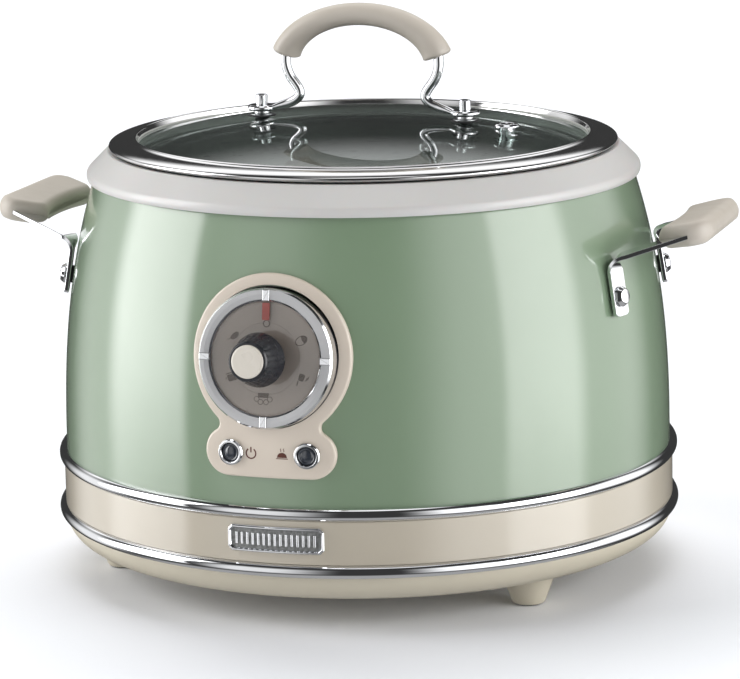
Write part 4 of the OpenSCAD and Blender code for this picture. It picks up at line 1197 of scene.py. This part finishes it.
head = rounded([(0, eyelet_z + 1.4), (2.8, eyelet_z + 1.4, 0.1), (2.8, eyelet_z + 5.9, 0.5),
                (2.1, eyelet_z + 6.28, 0.3), (0, eyelet_z + 6.3)], 5)
shaft = [(0, glass_top - 15), (1.9, glass_top - 15), (2.2, glass_top - 14.6), (2.2, eyelet_z + 1.45),
         (0, eyelet_z + 1.45)]
make("handle_bolts", repeat(merge(revolve(head, 48), revolve(shaft, 32)), bolt_frames), chrome, body="lid",
     replaces=["lid_bolts"])
g, g_in, g_out = glass_at(bolt_x), glass_at(bolt_x - 7), glass_at(bolt_x + 7)
post = rounded([(2.25, g + 1.3), (5.6, g + 1.3, 0.1), (5.6, g + 1.62, 0.1), (3.9, g + 1.75, 0.2),
                (3.7, g + 2.2, 0.3), (3.7, eyelet_z - 1.45, 0.3), (2.25, eyelet_z - 1.42)], 4)
make("bolt_spacers", repeat(revolve(post, 48), bolt_frames), satin_steel, body="lid",
     replaces=["lid_spacers"])
pad_top = rounded([(2.3, g_in + 0.02), (6.8, g_in + 0.02, 0.15), (6.8, g + 0.9, 0.35), (6.2, g + 1.28, 0.2),
                   (2.3, g + 1.28)], 4)
pad_mid = [(2.3, g - glass_t), (3.3, g - glass_t), (3.3, g_in + 0.05), (2.3, g_in + 0.05)]
pad_low = rounded([(2.3, g - glass_t - 1.8), (6.4, g - glass_t - 1.8, 0.4), (6.4, g_out - glass_t - 0.1, 0.2),
                   (2.3, g_out - glass_t - 0.1)], 4)
gasket = merge(revolve(pad_top, 64), revolve(pad_mid, 32), revolve(pad_low, 64))
make("bolt_gaskets", repeat(gasket, bolt_frames), rubber, body="lid",
     replaces=["lid_washers"])

v0, v1 = glass_at(vent_x - 6.2), glass_at(vent_x)
vent = rounded([(3.1, v1 - glass_t - 1.8, 0.2), (5.6, v1 - glass_t - 1.8, 0.3), (5.6, v1 - glass_t - 0.95, 0.2),
                (4.0, v1 - glass_t - 0.95), (4.0, v0 + 0.05), (6.2, v0 + 0.05, 0.1), (6.2, v0 + 0.8, 0.45),
                (5.1, v0 + 1.68, 0.5), (3.9, v0 + 1.5, 0.4), (3.1, v0 + 0.6, 0.4)], 5)
make("steam_eyelet", place(revolve(vent, 72), shift(vent_x)), chrome, body="lid",
     replaces=["steam_vent"])

# ---------------------------------------------------------------- CAD nodes that keep their shape
for material, kept_nodes in (
        (satin_steel, ("foot_screws", "plate_screws", "inlet_screws", "lid_nuts", "power_button_spring",
                       "keep_warm_button_spring", "sensor_spring")),
        (black, ("dial_housing", "rotary_switch", "micro_switches", "power_inlet")),
        (cast_mat, ("knob_shaft", "heater_plate", "sensor_cup")),
        (board_mat, ("control_board", "power_board")),
        (liner_mat, ("pot_well", "chassis_tray", "sensor_guide")),
        (tinted_mat, ("side_heater_band", "heating_element")),
        (ceramic_mat, ("thermal_fuse",)), (relay_mat, ("power_relay",)), (tape_mat, ("transformer",)),
        (brass_mat, ("inlet_pins",)), (silicone, ("lid_gasket",))):
    for node in kept_nodes:
        dress(node, material)

# ---------------------------------------------------------------- floor, light and camera
cam_azimuth = 17.7
floor_mat = surface("studio_floor", (0.90, 0.915, 0.955), 0.6, tone=0.004, tone_scale=3, rough_range=0.03,
                    grain=0.01)
bm = bmesh.new()
size = 9.0
cells = 6
marks = [(i / cells - 0.5) * 2 * size for i in range(cells + 1)]
grid = [[bm.verts.new((x, y, 0)) for y in marks] for x in marks]
for i in range(cells):
    for j in range(cells):
        bm.faces.new([grid[i][j], grid[i + 1][j], grid[i + 1][j + 1], grid[i][j + 1]])
data = bpy.data.meshes.new("studio_floor")
bm.to_mesh(data)
bm.free()
floor = bpy.data.objects.new("studio_floor", data)
data.materials.append(floor_mat)
bpy.context.scene.collection.objects.link(floor)
floor.visible_glossy = False
floor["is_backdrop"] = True

world = bpy.data.worlds.new("studio")
bpy.context.scene.world = world
world.use_nodes = True
nodes, links = world.node_tree.nodes, world.node_tree.links
nodes.clear()
out = nodes.new("ShaderNodeOutputWorld")
coords = nodes.new("ShaderNodeTexCoord")
turn = nodes.new("ShaderNodeVectorRotate")
turn.rotation_type = "Z_AXIS"
turn.inputs["Angle"].default_value = -math.radians(cam_azimuth)
links.new(coords.outputs["Generated"], turn.inputs["Vector"])
split = nodes.new("ShaderNodeSeparateXYZ")
links.new(turn.outputs["Vector"], split.inputs["Vector"])


def calc(kind, a, b=None):
    node = nodes.new("ShaderNodeMath")
    node.operation = kind
    for i, v in enumerate((a, b)):
        if v is None:
            continue
        if isinstance(v, (int, float)):
            node.inputs[i].default_value = v
        else:
            links.new(v, node.inputs[i])
    return node.outputs[0]


# The bearing from the camera's azimuth, positive to the right, and the height above the horizon, in degrees
DEGREES = 57.29578
towards_camera = calc("MULTIPLY", split.outputs["Y"], -1)
bearing = calc("MULTIPLY", calc("ARCTAN2", split.outputs["X"], towards_camera), DEGREES)
height = calc("MULTIPLY", calc("ARCSINE", split.outputs["Z"]), DEGREES)


def step(value, a, b):
    m = nodes.new("ShaderNodeMapRange")
    m.interpolation_type = "SMOOTHSTEP"
    m.inputs["From Min"].default_value = a
    m.inputs["From Max"].default_value = b
    links.new(value, m.inputs["Value"])
    return m.outputs["Result"]


def window(value, low, high, soft_low, soft_high):
    return calc("MULTIPLY", step(value, low - soft_low, low + soft_low),
                calc("SUBTRACT", 1.0, step(value, high - soft_high, high + soft_high)))


def patch(b0, b1, h0, h1, level, sb, sh):
    """A soft-edged panel of light between two bearings and two heights."""
    inside = calc("MULTIPLY", window(bearing, b0, b1, *sb), window(height, h0, h1, *sh))
    return calc("MULTIPLY", inside, level)


light = patch(-112, -72, -14, 44, 5.4, (6, 3), (14, 8))
for more in (patch(53, 88, -19, 34, 5.1, (3, 5), (14, 3)), patch(-140, -112, -30, 22, 1.0, (12, 6), (10, 12)),
             patch(88, 126, -20, 36, 1.5, (5, 12), (12, 8)),
             patch(-60, -24, -25, 40, 0.9, (10, 14), (12, 14)), patch(24, 53, -25, 40, 1.8, (14, 3), (12, 10)),
             patch(-190, -140, 25, 50, 1.3, (2, 12), (6, 8)), patch(148, 190, 25, 50, 1.3, (10, 2), (6, 8)),
             calc("MULTIPLY", step(height, 72, 80), 1.2),
             calc("MULTIPLY", step(height, -34, -52), 0.36)):
    light = calc("ADD", light, more)
light = calc("ADD", light, 0.045)
studio = nodes.new("ShaderNodeBackground")
studio.inputs["Color"].default_value = (1, 1, 1, 1)
links.new(light, studio.inputs["Strength"])
plain = nodes.new("ShaderNodeBackground")
plain.inputs["Color"].default_value = (1, 1, 1, 1)
plain.inputs["Strength"].default_value = 1.0
path = nodes.new("ShaderNodeLightPath")
mix = nodes.new("ShaderNodeMixShader")
links.new(path.outputs["Is Camera Ray"], mix.inputs[0])
links.new(studio.outputs[0], mix.inputs[1])
links.new(plain.outputs[0], mix.inputs[2])
links.new(mix.outputs[0], out.inputs["Surface"])

# A very soft key from behind and above lights floor and lid; it shows in no reflection.
lamp = bpy.data.lights.new("back_key", "SUN")
lamp.energy = 2.1
lamp.angle = math.radians(55)
key = bpy.data.objects.new("back_key", lamp)
key.location = (0, 0, 2)
key.rotation_mode = "QUATERNION"
a, e = math.radians(180 + cam_azimuth), math.radians(52)
towards = Vector((math.sin(a) * math.cos(e), -math.cos(a) * math.cos(e), math.sin(e)))
key.rotation_quaternion = towards.to_track_quat("Z", "Y")
key.visible_glossy = False
bpy.context.scene.collection.objects.link(key)

scene = bpy.context.scene
scene.view_settings.view_transform = "Standard"
scene.view_settings.look = "None"
cam_data = bpy.data.cameras.new("photo_camera")
cam_data.sensor_width = 36.0
cam_data.lens = 185.6
cam_data.clip_start, cam_data.clip_end = 0.05, 50
cam = bpy.data.objects.new("photo_camera", cam_data)
scene.collection.objects.link(cam)
a = math.radians(cam_azimuth)
reach, tall, pitch, roll = 1.7937, 0.4764, 11.67, 1.02
turned = (Matrix.Rotation(a, 4, "Z") @ Matrix.Rotation(math.radians(90 - pitch), 4, "X")
          @ Matrix.Rotation(-math.radians(roll), 4, "Z")
          @ Matrix.Rotation(-math.radians(0.05), 4, "Y") @ Matrix.Rotation(-math.radians(0.013), 4, "X"))
place_of_cam = Vector((reach * math.sin(a), -reach * math.cos(a), tall)) + AXIS * MM
cam.matrix_world = Matrix.Translation(place_of_cam) @ turned
scene.camera = cam

low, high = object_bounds()
